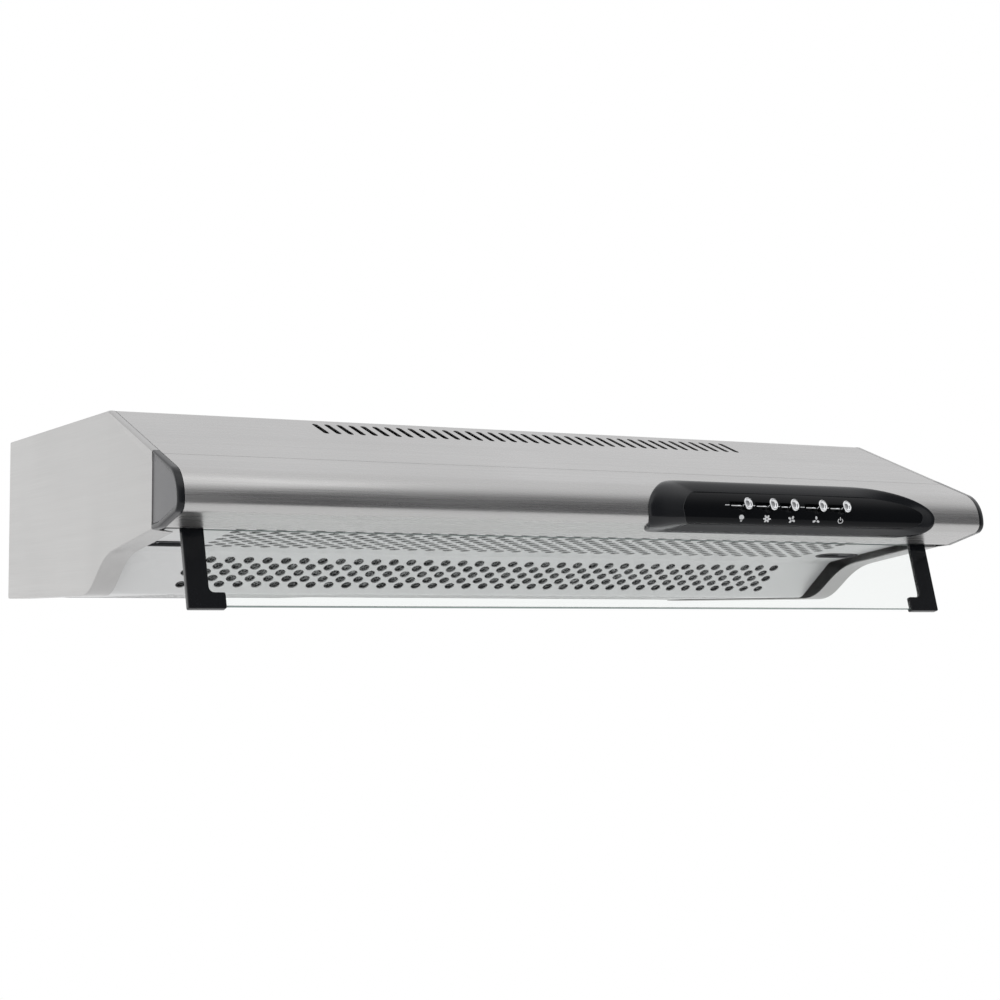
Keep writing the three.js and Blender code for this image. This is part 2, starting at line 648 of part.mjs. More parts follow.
place("filter_grille", filterGrille(), TRAY);
place("filter_mat", filterMat(), FILTER_MESH);
place("mat_clip", matClip(), CHROME);
for (const [side, word] of [[-1, "left"], [1, "right"]]) {
  const frame = latchFrame(side);
  place(`${word}_latch_cup`, latchCup(side), SATIN_BLACK, frame);
  place(`${word}_latch`, latchSlide(side), CAP_GREY, frame);
}

const visor = visorFrame();
place("visor_glass", visorGlass(), GLASS, visor);
for (const [side, word] of [[-1, "left"], [1, "right"]]) {
  place(`${word}_visor_bracket`, visorBracket(side), GLOSS_BLACK, visor);
  place(`${word}_visor_pin`, visorPin(side), CHROME, visor);
}

export default hood;
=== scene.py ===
"""Under cabinet range hood: brushed steel canopy and rounded front, slider controls, folding glass
visor, perforated filter tray, and the blower, lamp and wiring behind it.

Outlines are in millimetres, y from the wall (minus into the room) and z up from the bottom rim.
row() carries them into the frame of the loaded model, in metres.
"""

import math

import bmesh
import bpy
import numpy as np
from bpy.props import FloatProperty, FloatVectorProperty, IntProperty, PointerProperty
from mathutils import Euler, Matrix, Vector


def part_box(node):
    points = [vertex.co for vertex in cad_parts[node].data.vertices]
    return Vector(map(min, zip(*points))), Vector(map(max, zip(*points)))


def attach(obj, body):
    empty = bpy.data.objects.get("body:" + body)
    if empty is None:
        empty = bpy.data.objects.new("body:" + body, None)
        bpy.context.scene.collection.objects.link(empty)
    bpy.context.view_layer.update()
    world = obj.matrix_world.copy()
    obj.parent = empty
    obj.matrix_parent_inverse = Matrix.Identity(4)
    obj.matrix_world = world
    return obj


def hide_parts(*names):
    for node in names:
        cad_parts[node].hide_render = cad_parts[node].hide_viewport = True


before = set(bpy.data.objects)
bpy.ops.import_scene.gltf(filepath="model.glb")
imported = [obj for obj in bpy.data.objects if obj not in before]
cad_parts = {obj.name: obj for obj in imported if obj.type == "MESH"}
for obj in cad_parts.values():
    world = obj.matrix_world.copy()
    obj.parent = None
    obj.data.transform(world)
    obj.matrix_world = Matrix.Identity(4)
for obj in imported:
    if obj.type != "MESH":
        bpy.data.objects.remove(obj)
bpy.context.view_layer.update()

bl_info = {
    "name": "Under Cabinet Range Hood",
    "version": (1, 0, 0),
    "blender": (4, 5, 0),
    "location": "3D View > Sidebar > Range Hood",
    "description": "Builds the visible skins, controls, visor and filter of a slim range hood",
    "category": "Object",
}

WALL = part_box("back_panel")[1].y
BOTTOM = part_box("left_side_panel")[0].z
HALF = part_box("right_side_panel")[1].x * 1000
HEIGHT = -BOTTOM * 1000
SIDES = ((-1, "left"), (1, "right"))

RIDGE_Y, SLOPE = -328.0, 0.35  # the fold of the top, and the fall of the slope
NOSE_FRONT, NOSE_R, NOSE_LOW_R = -508.0, 28.0, 9.0
NOSE_UNDER, NOSE_BACK = 0.244, -462.0
SEAM_Y, CAP_Y, CAP_THICK = -455.0, -446.0, 5.2
SHEET = 1.0
SLOPE_ANGLE = math.atan(SLOPE)
NOSE_Y = NOSE_FRONT + NOSE_R
NOSE_Z = HEIGHT + SLOPE * (NOSE_Y - RIDGE_Y) - NOSE_R / math.cos(SLOPE_ANGLE)

TRAY_PATH = ((-433, 53), (-304, 36.6), (-256, 1.6), (-14, 1.6))
TRAY_HALF = 358.0
HINGE, HINGE_X = (-14.0, 7.0), 300.0
LATCH_X, LATCH_Y, LATCH_REACH = 336.0, -345.0, 11.5
VISOR_PIVOT, VISOR_TILT, VISOR_DROP, VISOR_HALF = (-447.0, 52.5), 16.9, 68.0, 358.0
GLASS_HALF, ARM_WIDTH, ARM_TOP, TOE_LENGTH, TOE_HEIGHT = 350.0, 17.6, 2.5, 30.6, 13.0
KNOBS = {"lamp": 122.0, "high_speed": 148.0, "medium_speed": 170.0, "low_speed": 199.5, "power": 225.3}
TRACK_ENDS = (122.0, 148.0, 173.7, 199.5, 225.3)
KNOB_Z = 77.0
BEZEL = (24, 322, 55, 95.5, 38, 82, 10)  # x, x, z, z, then the reach of its three kinds of corner
FACE = (60, 311, 58.6, 88.5, 17, 66, 8)
SLOT_PITCH, SLOT_START, SLOT_END = 11.1, 12.0, 43.0  # the slots begin and end this far from the ridge
OUTLET_BACK, OUTLET_RADIUS = 92.0, 61.0
GLAND_X, GLAND_BACK, GLAND_RADIUS = -230.0, 60.0, 9.4


# ---- Sizes and colours a user may change ----

class HoodSizes(bpy.types.PropertyGroup):
    slot_count: IntProperty(name="Slots", description="Cooling slots in the slope", default=38, min=2)
    slot_width: FloatProperty(name="Slot Width", description="Width of a cooling slot",
                              default=0.0050, min=0.001, unit="LENGTH")
    fold_radius: FloatProperty(name="Fold Radius", description="Outer radius of the folds in the sheet",
                               default=0.003, min=0.0005, unit="LENGTH")
    hole_diameter: FloatProperty(name="Hole Diameter", description="Diameter of a hole in the filter tray",
                                 default=0.0094, min=0.002, max=0.0115, unit="LENGTH")
    edge_radius: FloatProperty(name="Moulding Edge", description="Edge radius of the moulded parts",
                               default=0.0008, min=0.0001, unit="LENGTH")


class HoodColours(bpy.types.PropertyGroup):
    steel: FloatVectorProperty(name="Steel", description="Colour of the brushed steel", subtype="COLOR",
                               default=(0.585, 0.58, 0.572), min=0, max=1)
    tray: FloatVectorProperty(name="Tray", description="Colour of the perforated tray", subtype="COLOR",
                              default=(0.74, 0.745, 0.74), min=0, max=1)
    plastic: FloatVectorProperty(name="Black Plastic", description="Colour of the black mouldings",
                                 subtype="COLOR", default=(0.009, 0.010, 0.012), min=0, max=1)
    glass: FloatVectorProperty(name="Glass", description="Tint of the visor glass", subtype="COLOR",
                               default=(0.975, 0.995, 0.985), min=0, max=1)
    backdrop: FloatVectorProperty(name="Floor", description="Colour of the studio floor", subtype="COLOR",
                                  default=(0.9, 0.9, 0.9), min=0, max=1)


def sizes():
    return bpy.context.scene.hood_sizes


def colours():
    return bpy.context.scene.hood_colours


# ---- Curves in a plane ----

def row(points):
    """Millimetres from the wall and the bottom rim, carried to metres in the model's frame."""
    return np.asarray(points, float) / 1000 + (0, WALL, BOTTOM)


def arc(y, z, radius, start, end, steps):
    """Points on a circle: centre plus radius times (cosine, sine) of evenly spaced angles."""
    a = np.linspace(start, end, steps + 1)
    return np.stack([y + radius * np.cos(a), z + radius * np.sin(a)], -1)


def softened(points, reach, steps=6, closed=True):
    """Each corner becomes a parabola that starts and ends `reach` before and after it:
    (1-t)^2 A + 2t(1-t) corner + t^2 B, with A and B on the two sides."""
    p = np.asarray(points, float)
    before, after = np.roll(p, 1, 0) - p, np.roll(p, -1, 0) - p
    size = np.broadcast_to(np.asarray(reach, float), len(p))[:, None]
    length_a, length_b = (np.linalg.norm(v, axis=1, keepdims=True) for v in (before, after))
    a = p + before * np.minimum(size / length_a, 0.5)
    b = p + after * np.minimum(size / length_b, 0.5)
    t = np.linspace(0, 1, steps + 1)[None, :, None]
    round_ = (1 - t) ** 2 * a[:, None] + 2 * t * (1 - t) * p[:, None] + t**2 * b[:, None]
    if closed:
        return round_.reshape(-1, 2)
    return np.concatenate([p[:1], round_[1:-1].reshape(-1, 2), p[-1:]])


def smoothed(points, count):
    """A cubic through the points: each stretch blends its ends and their central-difference slopes."""
    p = np.asarray(points, float)
    slope = np.gradient(p, axis=0)
    t = np.linspace(0, len(p) - 1, count)
    i = np.minimum(t.astype(int), len(p) - 2)
    f = (t - i)[:, None]
    return ((2 * f**3 - 3 * f**2 + 1) * p[i] + (f**3 - 2 * f**2 + f) * slope[i]
            + (3 * f**2 - 2 * f**3) * p[i + 1] + (f**3 - f**2) * slope[i + 1])


def moved_in(points, distance, closed=True):
    """Each point moved to the left of its direction, by the distance over the cosine of half the turn."""
    p = np.asarray(points, float)
    step = np.roll(p, -1, 0) - p
    ahead = step / np.maximum(np.linalg.norm(step, axis=1, keepdims=True), 1e-9)
    behind = np.roll(ahead, 1, 0)
    if not closed:
        behind[0], ahead[-1] = ahead[0], behind[-1]
    middle = ahead + behind
    middle /= np.maximum(np.linalg.norm(middle, axis=1, keepdims=True), 1e-9)
    stretch = np.maximum((middle * ahead).sum(1, keepdims=True), 0.35)
    left = np.stack([-middle[:, 1], middle[:, 0]], -1)
    return p + left * np.reshape(distance, (-1, 1)) / stretch


def length_along(points):
    return np.concatenate([[0], np.cumsum(np.linalg.norm(np.diff(points, axis=0), axis=1))])


def stadium(half_length, radius, steps=12):
    """A slot's outline: two half circles about the ends of its centre line."""
    right = arc(half_length, 0, radius, -math.pi / 2, math.pi / 2, steps)
    return np.concatenate([right, arc(-half_length, 0, radius, math.pi / 2, 1.5 * math.pi, steps)])


def rectangle(x0, x1, y0, y1):
    return np.array([[x0, y0], [x1, y0], [x1, y1], [x0, y1]], float)


class Bent:
    """A sheet's section: a polyline in (y, z) read by the length along it, with its left normal."""

    def __init__(self, points):
        self.points = np.asarray(points, float)
        self.s = length_along(self.points)
        self.end = self.s[-1]
        tangent = np.gradient(self.points, self.s, axis=0)
        tangent /= np.linalg.norm(tangent, axis=1, keepdims=True)
        self.normal = np.stack([-tangent[:, 1], tangent[:, 0]], -1)

    def at(self, s, column):
        return np.interp(s, self.s, self.points[:, column])

    def where_y(self, y):
        """The length at which a section that runs back to the wall reaches a y."""
        return np.interp(y, self.points[:, 0], self.s)

    def where(self, column, value):
        """The length at which a coordinate that falls all the way has a value."""
        return np.interp(-np.asarray(value, float), -self.points[:, column], self.s)

    def place(self, flat, depth=0.0):
        """(x, length) points folded into space, moved by a depth along the left normal."""
        x, s = flat[..., 0], flat[..., 1]
        n = [np.interp(s, self.s, self.normal[:, k]) for k in (0, 1)]
        return np.stack([x, self.at(s, 0) + n[0] * depth, self.at(s, 1) + n[1] * depth], -1)


def nose_line(start_y, fine=36):
    """The front's section: slope, large arc, small arc, straight underside."""
    under = 1.5 * math.pi - math.atan(NOSE_UNDER)
    upper = arc(NOSE_Y, NOSE_Z, NOSE_R, math.pi / 2 + SLOPE_ANGLE, math.pi, fine)
    lower = arc(NOSE_FRONT + NOSE_LOW_R, NOSE_Z, NOSE_LOW_R, math.pi, under, fine // 2)
    last = lower[-1]
    t = np.linspace(0, 1, 9)[1:, None]
    end = np.array([NOSE_BACK, last[1] - (NOSE_BACK - last[0]) * NOSE_UNDER])
    start = np.array([start_y, HEIGHT + SLOPE * (start_y - RIDGE_Y)])
    lead = start + np.linspace(0, 1, 6)[:-1, None] * (upper[0] - start)
    return np.concatenate([lead, upper, lower[1:], last + t * (end - last)])


# ---- Surfaces ----

def quads(rows, columns, ring_rows=False, ring_columns=False):
    """Four corners of each cell of a grid, joined round where it closes on itself."""
    r = np.arange(rows if ring_rows else rows - 1)[:, None]
    c = np.arange(columns if ring_columns else columns - 1)[None, :]
    r2, c2 = (r + 1) % rows, (c + 1) % columns
    return np.stack([r * columns + c, r * columns + c2, r2 * columns + c2, r2 * columns + c],
                    -1).reshape(-1, 4)


def surface(grid, ring_rows=False, ring_columns=False, lids=False):
    """A grid of points as (points, faces). Lids close the first and last rows."""
    rows, columns = grid.shape[:2]
    faces = quads(rows, columns, ring_rows, ring_columns).tolist()
    if lids:
        last = (rows - 1) * columns
        faces += [list(range(columns))[::-1], list(range(last, last + columns))]
    return grid.reshape(-1, 3), faces


def skins(outer, inner, faces):
    """Two like sets of points with the same four-cornered faces, joined along the edges that belong
    to one face only."""
    faces, n = np.asarray(faces), len(outer)
    edges = np.sort(np.stack([faces, np.roll(faces, -1, 1)], -1).reshape(-1, 2), 1)
    edges = edges[edges[:, 0] != edges[:, 1]]
    each, times = np.unique(edges, axis=0, return_counts=True)
    a, b = each[times == 1].T
    rim = np.stack([b, a, a + n, b + n], -1)
    return (np.concatenate([outer, inner]),
            np.concatenate([faces, faces[:, ::-1] + n, rim]).tolist())


def welded(points, faces):
    """Flat points that coincide to a hundredth of a millimetre become one."""
    _, first, same = np.unique(np.round(points, 2), axis=0, return_index=True, return_inverse=True)
    return points[first], same.reshape(-1)[np.asarray(faces)]


def joined(*parts):
    """Several (points, faces) as one."""
    points, faces, n = [], [], 0
    for p, f in parts:
        points.append(p)
        faces += [[int(i) + n for i in face] for face in f]
        n += len(p)
    return np.concatenate(points), faces


def folded(section, flat, faces, outer=0.0, inner=SHEET):
    """A flat pattern folded along a section, between two depths below it."""
    return skins(section.place(flat, outer), section.place(flat, inner), faces)


def slab(outline, low, high, edge=0.8, steps=3):
    """An outline carried from low to high: the edge is a quarter circle, moved in by edge (1 - sine)
    and up by edge (1 - cosine), at both ends, with a narrow flat ring inside it."""
    a = np.linspace(0, math.pi / 2, steps + 1)
    inward, up = edge * (1 - np.sin(a)), edge * (1 - np.cos(a))
    inward, up = np.insert(inward, 0, edge + 0.05), np.insert(up, 0, 0)
    grid = [np.column_stack([moved_in(outline, i), np.full(len(outline), low + u)])
            for i, u in zip(inward, up)]
    grid += [np.column_stack([moved_in(outline, i), np.full(len(outline), high - u)])
             for i, u in zip(inward[::-1], up[::-1])]
    return surface(np.array(grid), ring_columns=True, lids=True)


def turned(profile, steps=48):
    """(radius, height) points turned about the third axis: (r cos a, r sin a, h)."""
    p = np.asarray(profile, float)
    a = np.arange(steps) * 2 * math.pi / steps
    grid = np.stack([p[:, :1] * np.cos(a), p[:, :1] * np.sin(a), np.repeat(p[:, 1:], steps, 1)], -1)
    return surface(grid, ring_columns=True, ring_rows=bool(p[0, 0] > 0))


def tube(path, radius, sides=10, closed=False):
    """A circle carried along a path: the point plus radius (cos a) side + (sin a) up."""
    p = np.asarray(path, float)
    ahead = (np.roll(p, -1, 0) - np.roll(p, 1, 0)) if closed else np.gradient(p, axis=0)
    ahead /= np.linalg.norm(ahead, axis=1, keepdims=True)
    guide = np.array([0.03, 0.02, 1.0]) if abs(ahead[:, 2]).max() < 0.9 else np.array([1.0, 0.02, 0.03])
    side = np.cross(ahead, guide)
    side /= np.linalg.norm(side, axis=1, keepdims=True)
    up = np.cross(side, ahead)
    a = (np.arange(sides) * 2 * math.pi / sides)[None, :, None]
    grid = p[:, None] + radius * (np.cos(a) * side[:, None] + np.sin(a) * up[:, None])
    return surface(grid, ring_rows=closed, ring_columns=True, lids=not closed)


AXES = {"x": ((0, 1, 0), (0, 0, 1), (1, 0, 0)), "y": ((1, 0, 0), (0, 0, 1), (0, -1, 0)),
        "z": ((1, 0, 0), (0, 1, 0), (0, 0, 1))}


def stood(part, axis, at=(0, 0, 0), tilt=0.0):
    """A part drawn about its third axis, stood along x, -y or z, turned about x and moved."""
    points = part[0] @ np.array(AXES[axis], float)
    c, s = math.cos(tilt), math.sin(tilt)
    points = points @ np.array([[1, 0, 0], [0, c, s], [0, -s, c]], float)
    return points + np.array(at, float), part[1]


def mirrored(part, side):
    return part[0] * (side, 1, 1), part[1]


def border(xs, ss):
    """The grid points round a window, in order."""
    top = np.column_stack([xs, np.full(len(xs), ss[0])])
    right = np.column_stack([np.full(len(ss), xs[-1]), ss])
    bottom = np.column_stack([xs, np.full(len(xs), ss[-1])])[::-1]
    left = np.column_stack([np.full(len(ss), xs[0]), ss])[::-1]
    return np.concatenate([top[:-1], right[:-1], bottom[:-1], left[:-1]])


def collar(outer, inner, rows):
    """Faces between two loops of as many points, in straight steps from one to the other."""
    t = np.linspace(0, 1, rows + 1)[:, None, None]
    grid = outer + t * (inner - outer)
    return grid.reshape(-1, 2), quads(rows + 1, len(outer), ring_columns=True)


def slot_edge(outer, centre, half_x, half_s, radius):
    """For each outer point, the point a radius away from the nearest point of the slot's middle line."""
    local = outer - centre
    core = np.clip(local, (-half_x, -half_s), (half_x, half_s))
    out = local - core
    return centre + core + radius * out / np.linalg.norm(out, axis=1, keepdims=True)


def make(name, part, finish, stands_for=None, body="hood", bend=40):
    """One finished piece: points that agree to a micrometre are one, faces look outwards, edges are
    sharp past an angle. It rides on a body and takes its finish's material."""
    points, faces = part
    points, where = np.unique(np.round(points, 3), axis=0, return_inverse=True)
    where = where.reshape(-1).tolist()
    corners = (tuple(dict.fromkeys(where[i] for i in face)) for face in faces)
    mesh = bpy.data.meshes.new(name)
    mesh.from_pydata(row(points), [], [face for face in corners if len(face) > 2])
    work = bmesh.new()
    work.from_mesh(mesh)
    bmesh.ops.recalc_face_normals(work, faces=work.faces)
    work.to_mesh(mesh)
    work.free()
    mesh.shade_smooth()
    mesh.set_sharp_from_angle(angle=math.radians(bend))
    mesh.materials.append(finishes()[finish])
    piece = bpy.data.objects.new(name, mesh)
    bpy.context.scene.collection.objects.link(piece)
    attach(piece, body)
    if stands_for:
        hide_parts(stands_for)
    return piece


# ---- Finishes ----

def node(tree, kind, inputs=None, **settings):
    """A shader node: settings are its own, inputs are values or sockets by name or number."""
    made = tree.nodes.new("ShaderNode" + kind)
    for key, value in settings.items():
        setattr(made, key, value)
    for key, value in (inputs or {}).items():
        if isinstance(value, bpy.types.NodeSocket):
            tree.links.new(value, made.inputs[key])
        else:
            made.inputs[key].default_value = value
    return made


def blank(name, **values):
    """A material with its shader's sockets set, as (material, tree, shader)."""
    material = bpy.data.materials.new(name)
    material.use_nodes = True
    tree = material.node_tree
    shader = tree.nodes["Principled BSDF"]
    for key, value in values.items():
        shader.inputs[key.replace("_", " ")].default_value = value
    return material, tree, shader


def place_of(tree, stretch=(1, 1, 1)):
    where = node(tree, "TexCoord").outputs["Object"]
    return node(tree, "Mapping", {"Vector": where, "Scale": stretch}).outputs[0]


def spread(tree, factor, low, high):
    """A value from low to high as the factor goes from 0.3 to 0.7."""
    return node(tree, "MapRange", {"Value": factor, 1: 0.3, 2: 0.7, 3: low, 4: high}).outputs[0]


def tinted(tree, factor, dark, light):
    mix = node(tree, "Mix", {"Factor": factor}, data_type="RGBA", clamp_factor=True)
    mix.inputs[6].default_value, mix.inputs[7].default_value = (*dark, 1), (*light, 1)
    return mix.outputs[2]


def shade(colour, factor):
    return tuple(min(1.0, c * factor) for c in colour)


def noise(tree, vector, scale, detail=2.0):
    return node(tree, "TexNoise", {"Vector": vector, "Scale": scale, "Detail": detail}).outputs[0]


def maths(tree, operation, a, b):
    return node(tree, "Math", {0: a, 1: b}, operation=operation).outputs[0]


def fed(tree, shader, relief, **sockets):
    """The shader's sockets fed by name. The relief is a height, a strength and a distance."""
    height, strength, distance = relief
    bump = node(tree, "Bump", {"Height": height, "Strength": strength, "Distance": distance})
    for key, value in {**sockets, "Normal": bump.outputs[0]}.items():
        tree.links.new(value, shader.inputs[key.replace("_", " ")])


def brushed(name, colour, grain, rough=0.27, streak=0.05):
    """Steel brushed along one axis: long thin streaks in colour, gloss and height, a slow stain over
    them, and a reflection drawn out across the brushing."""
    material, tree, shader = blank(name, Metallic=1.0, Anisotropic=0.72, Anisotropic_Rotation=0.25)
    fine = tuple(9.0 if axis == grain else 1400.0 for axis in "xyz")
    broad = tuple(2.0 if axis == grain else 160.0 for axis in "xyz")
    streaks = noise(tree, place_of(tree, fine), 1.0, 3)
    bands = noise(tree, place_of(tree, broad), 1.0, 2)
    cloud = noise(tree, place_of(tree), 7.0, 3)
    factor = spread(tree, maths(tree, "MULTIPLY", maths(tree, "ADD", streaks, bands), 0.5), 0.0, 1.0)
    along = node(tree, "CombineXYZ", {axis: float(axis.lower() == grain) for axis in "XYZ"}).outputs[0]
    gloss = maths(tree, "ADD", spread(tree, streaks, rough - 0.05, rough + 0.05),
                  spread(tree, cloud, -0.03, 0.03))
    fed(tree, shader, (streaks, 0.06, 0.0004), Tangent=along, Roughness=gloss,
        Base_Color=tinted(tree, factor, shade(colour, 1 - streak), shade(colour, 1 + streak)))
    return material


def moulded(name, colour, rough, coat=0.0, grain=900.0, relief=0.06, gleam=0.5):
    """Moulded plastic: a fine grain in its height and gloss, and slow colour variation."""
    material, tree, shader = blank(name, Coat_Weight=coat, Coat_Roughness=0.04, Specular_IOR_Level=gleam)
    fine, slow = noise(tree, place_of(tree), grain, 2), noise(tree, place_of(tree), 14.0, 2)
    fed(tree, shader, (fine, relief, 0.0002), Roughness=spread(tree, slow, rough * 0.85, rough * 1.15),
        Base_Color=tinted(tree, slow, shade(colour, 0.85), shade(colour, 1.15)))
    return material


def plated(name, colour, rough, spangle=60.0, contrast=0.1, metallic=1.0):
    """Bare or zinc-coated metal: flat crystals of slightly different tone, and fine scratches."""
    material, tree, shader = blank(name, Metallic=metallic)
    cells = node(tree, "TexVoronoi", {"Vector": place_of(tree), "Scale": spangle}).outputs["Color"]
    grey = node(tree, "RGBToBW", {0: cells}).outputs[0]
    worn = noise(tree, place_of(tree), 25.0, 4)
    mixed = spread(tree, maths(tree, "MULTIPLY", grey, worn), 0.0, 1.0)
    fed(tree, shader, (worn, 0.05, 0.0004), Roughness=spread(tree, worn, rough * 0.8, rough * 1.2),
        Base_Color=tinted(tree, mixed, shade(colour, 1 - contrast), shade(colour, 1 + contrast)))
    return material


def glazed(name, colour):
    """Clear glass, a little less smooth in places."""
    material, tree, shader = blank(name, Transmission_Weight=1.0, IOR=1.45, Base_Color=(*colour, 1))
    wavy = noise(tree, place_of(tree), 9.0, 1)
    tree.links.new(spread(tree, wavy, 0.0, 0.012), shader.inputs["Roughness"])
    return material


def mesh_metal(name, colour):
    """Layers of knitted aluminium: strands at the metal's tone over gaps painted almost black as shade, with
    patches of painted shade from a crumple noise.
    """
    material, tree, shader = blank(name, Metallic=0.85)
    crumple = noise(tree, place_of(tree), 120.0, 3)
    strands = node(tree, "TexVoronoi", {"Vector": place_of(tree, (1.0, 0.55, 0.55)), "Scale": 420.0},
                   feature="DISTANCE_TO_EDGE").outputs[0]
    web = node(tree, "MapRange", {"Value": strands, 1: 0.02, 2: 0.16, 3: 1.0, 4: 0.0}).outputs[0]
    # painted shade: the gaps between strands drop to a tenth of the colour and the strands dim in random
    # crumpled patches
    strands_and_painted_shade = maths(tree, "MULTIPLY", web, spread(tree, crumple, 0.25, 1.0))
    fed(tree, shader, (strands_and_painted_shade, 0.7, 0.0015), Roughness=spread(tree, crumple, 0.25, 0.5),
        Base_Color=tinted(tree, strands_and_painted_shade, shade(colour, 0.10), shade(colour, 1.1)))
    return material


FINISHES = {}


def finishes():
    """Every finish of the hood, made once."""
    if not FINISHES:
        c = colours()
        recipes = {
            "brushed_steel": (brushed, c.steel, "x"),
            "satin_steel": (brushed, shade(c.steel, 0.88), "y", 0.36, 0.03),
            "galvanised_steel": (plated, (0.42, 0.435, 0.45), 0.42),
            "gloss_black": (moulded, c.plastic, 0.2, 0.12, 900.0, 0.02, 0.3),
            "face_black": (moulded, shade(c.plastic, 0.6), 0.14, 0.0, 900.0, 0.01, 0.12),
            "satin_black": (moulded, shade(c.plastic, 1.6), 0.42, 0.0, 1500.0, 0.12),
            "grey_plastic": (moulded, (0.145, 0.145, 0.15), 0.4, 0.0, 1200.0, 0.1),
            "bright_chrome": (plated, (0.86, 0.87, 0.88), 0.09, 30.0, 0.03),
            "tray_aluminium": (plated, c.tray, 0.42, 90.0, 0.03, 0.35),
            "filter_mesh": (mesh_metal, (0.62, 0.63, 0.63)),
            "clear_glass": (glazed, c.glass),
            "glass_edge": (moulded, (0.20, 0.27, 0.25), 0.15, 0.0, 900.0, 0.02),
            "opal_glass": (moulded, (0.83, 0.81, 0.74), 0.2, 0.4, 900.0, 0.02),
            "white_plastic": (moulded, (0.75, 0.74, 0.70), 0.4),
            "grey_nylon": (moulded, (0.26, 0.275, 0.285), 0.48, 0.0, 900.0, 0.1),
            "white_print": (moulded, (0.8, 0.81, 0.82), 0.5),
        }
        FINISHES.update({name: recipe(name, *values) for name, (recipe, *values) in recipes.items()})
    return FINISHES


class HoodOperator:
    bl_options = {"REGISTER", "UNDO"}


# ---- Shell ----

def window_strips(xs, ss, windows):
    """The cells of a flat grid outside the windows, which are (first x, last x, first s, last s)."""
    points = np.stack(np.meshgrid(xs, ss), -1)
    middle_x, middle_s = (xs[:-1] + xs[1:]) / 2, (ss[:-1] + ss[1:]) / 2
    keep = np.ones((len(ss) - 1, len(xs) - 1), bool)
    for x0, x1, s0, s1 in windows:
        keep &= ~(((middle_s > s0) & (middle_s < s1))[:, None] & ((middle_x > x0) & (middle_x < x1)))
    return points.reshape(-1, 2), quads(len(ss), len(xs))[keep.ravel()]


def between(lines, low, high):
    return lines[(lines > low - 0.006) & (lines < high + 0.006)]


def lines(*groups):
    """Grid lines from several groups, sorted, none closer than a hundredth of a millimetre."""
    return np.unique(np.round(np.concatenate([np.atleast_1d(g) for g in groups]), 2))


class HOOD_OT_canopy(HoodOperator, bpy.types.Operator):
    """The folded top: flat behind, sloping in front, with its slots, duct outlet and cord hole"""
    bl_idname = "hood.canopy"
    bl_label = "Canopy"

    def execute(self, context):
        size = sizes()
        end = SEAM_Y + 0.4
        corner = [(0, HEIGHT), (RIDGE_Y, HEIGHT), (end, HEIGHT + SLOPE * (end - RIDGE_Y))]
        line = softened(corner, (0, size.fold_radius * 1000, 0), 8, closed=False)
        section = Bent(line)
        half = HALF - CAP_THICK - 0.4
        width = size.slot_width * 1000
        centres = (np.arange(size.slot_count) - (size.slot_count - 1) / 2) * SLOT_PITCH
        fall = math.cos(SLOPE_ANGLE)
        s0, s1 = -RIDGE_Y + SLOT_START / fall, -RIDGE_Y + SLOT_END / fall
        middle, length = (s0 + s1) / 2, (s1 - s0) / 2 - width / 2
        cell = np.array([-0.5, -0.3, -0.15, 0, 0.15, 0.3, 0.5]) * SLOT_PITCH
        round_hole = np.linspace(-72, 72, 17)
        gland = np.linspace(-14, 14, 7)
        xs = lines(-half, half, (centres[:, None] + cell).ravel(), round_hole, gland + GLAND_X)
        ss = lines(0, section.end, round_hole + OUTLET_BACK, gland + GLAND_BACK, section.s, s0 - 5, s1 + 5,
                   np.linspace(s0 + width / 2, s1 - width / 2, 3), s1 + 30, s1 + 60)
        holes = [(c, middle, SLOT_PITCH / 2, (s1 - s0) / 2 + 5, 0, length, width / 2, 2) for c in centres]
        holes += [(0, OUTLET_BACK, 72, 72, 0, 0, OUTLET_RADIUS, 3),
                  (GLAND_X, GLAND_BACK, 14, 14, 0, 0, GLAND_RADIUS, 2)]
        flat, faces = window_strips(xs, ss, [(x - a, x + a, s - b, s + b) for x, s, a, b, *_ in holes])
        parts = [(flat, faces)]
        for x, s, a, b, half_x, half_s, radius, rows in holes:
            outer = border(between(xs, x - a, x + a), between(ss, s - b, s + b))
            parts.append(collar(outer, slot_edge(outer, (x, s), half_x, half_s, radius), rows))
        flat, faces = welded(*joined(*parts))
        make("canopy", folded(section, flat, faces), "brushed_steel", "top_panel", bend=30)
        return {"FINISHED"}


def bezier(*points, steps=10):
    """The curve of its control points: each weighted by its Bernstein polynomial."""
    n, t = len(points) - 1, np.linspace(0, 1, steps + 1)[:-1, None]
    return sum(math.comb(n, k) * (1 - t) ** (n - k) * t**k * np.array(p, float)
               for k, p in enumerate(points))


def on_rays(outline, targets):
    """The outline's points on the rays from its middle through the targets, with both axes measured
    in half widths of the outline."""
    low, high = outline.min(0), outline.max(0)
    centre, scale = (low + high) / 2, (high - low) / 2
    o, t = (outline - centre) / scale, (targets - centre) / scale
    angle = np.arctan2(t[:, 1], t[:, 0])
    reach = np.interp(angle, np.arctan2(o[:, 1], o[:, 0]), np.hypot(*o.T), period=2 * math.pi)
    return centre + np.stack([np.cos(angle), np.sin(angle)], -1) * reach[:, None] * scale


NOSE = Bent(nose_line(SEAM_Y))


def on_nose(points):
    """(x, z) points of the front read as (x, length along its section)."""
    return np.column_stack([points[:, 0], NOSE.where(1, points[:, 1])])


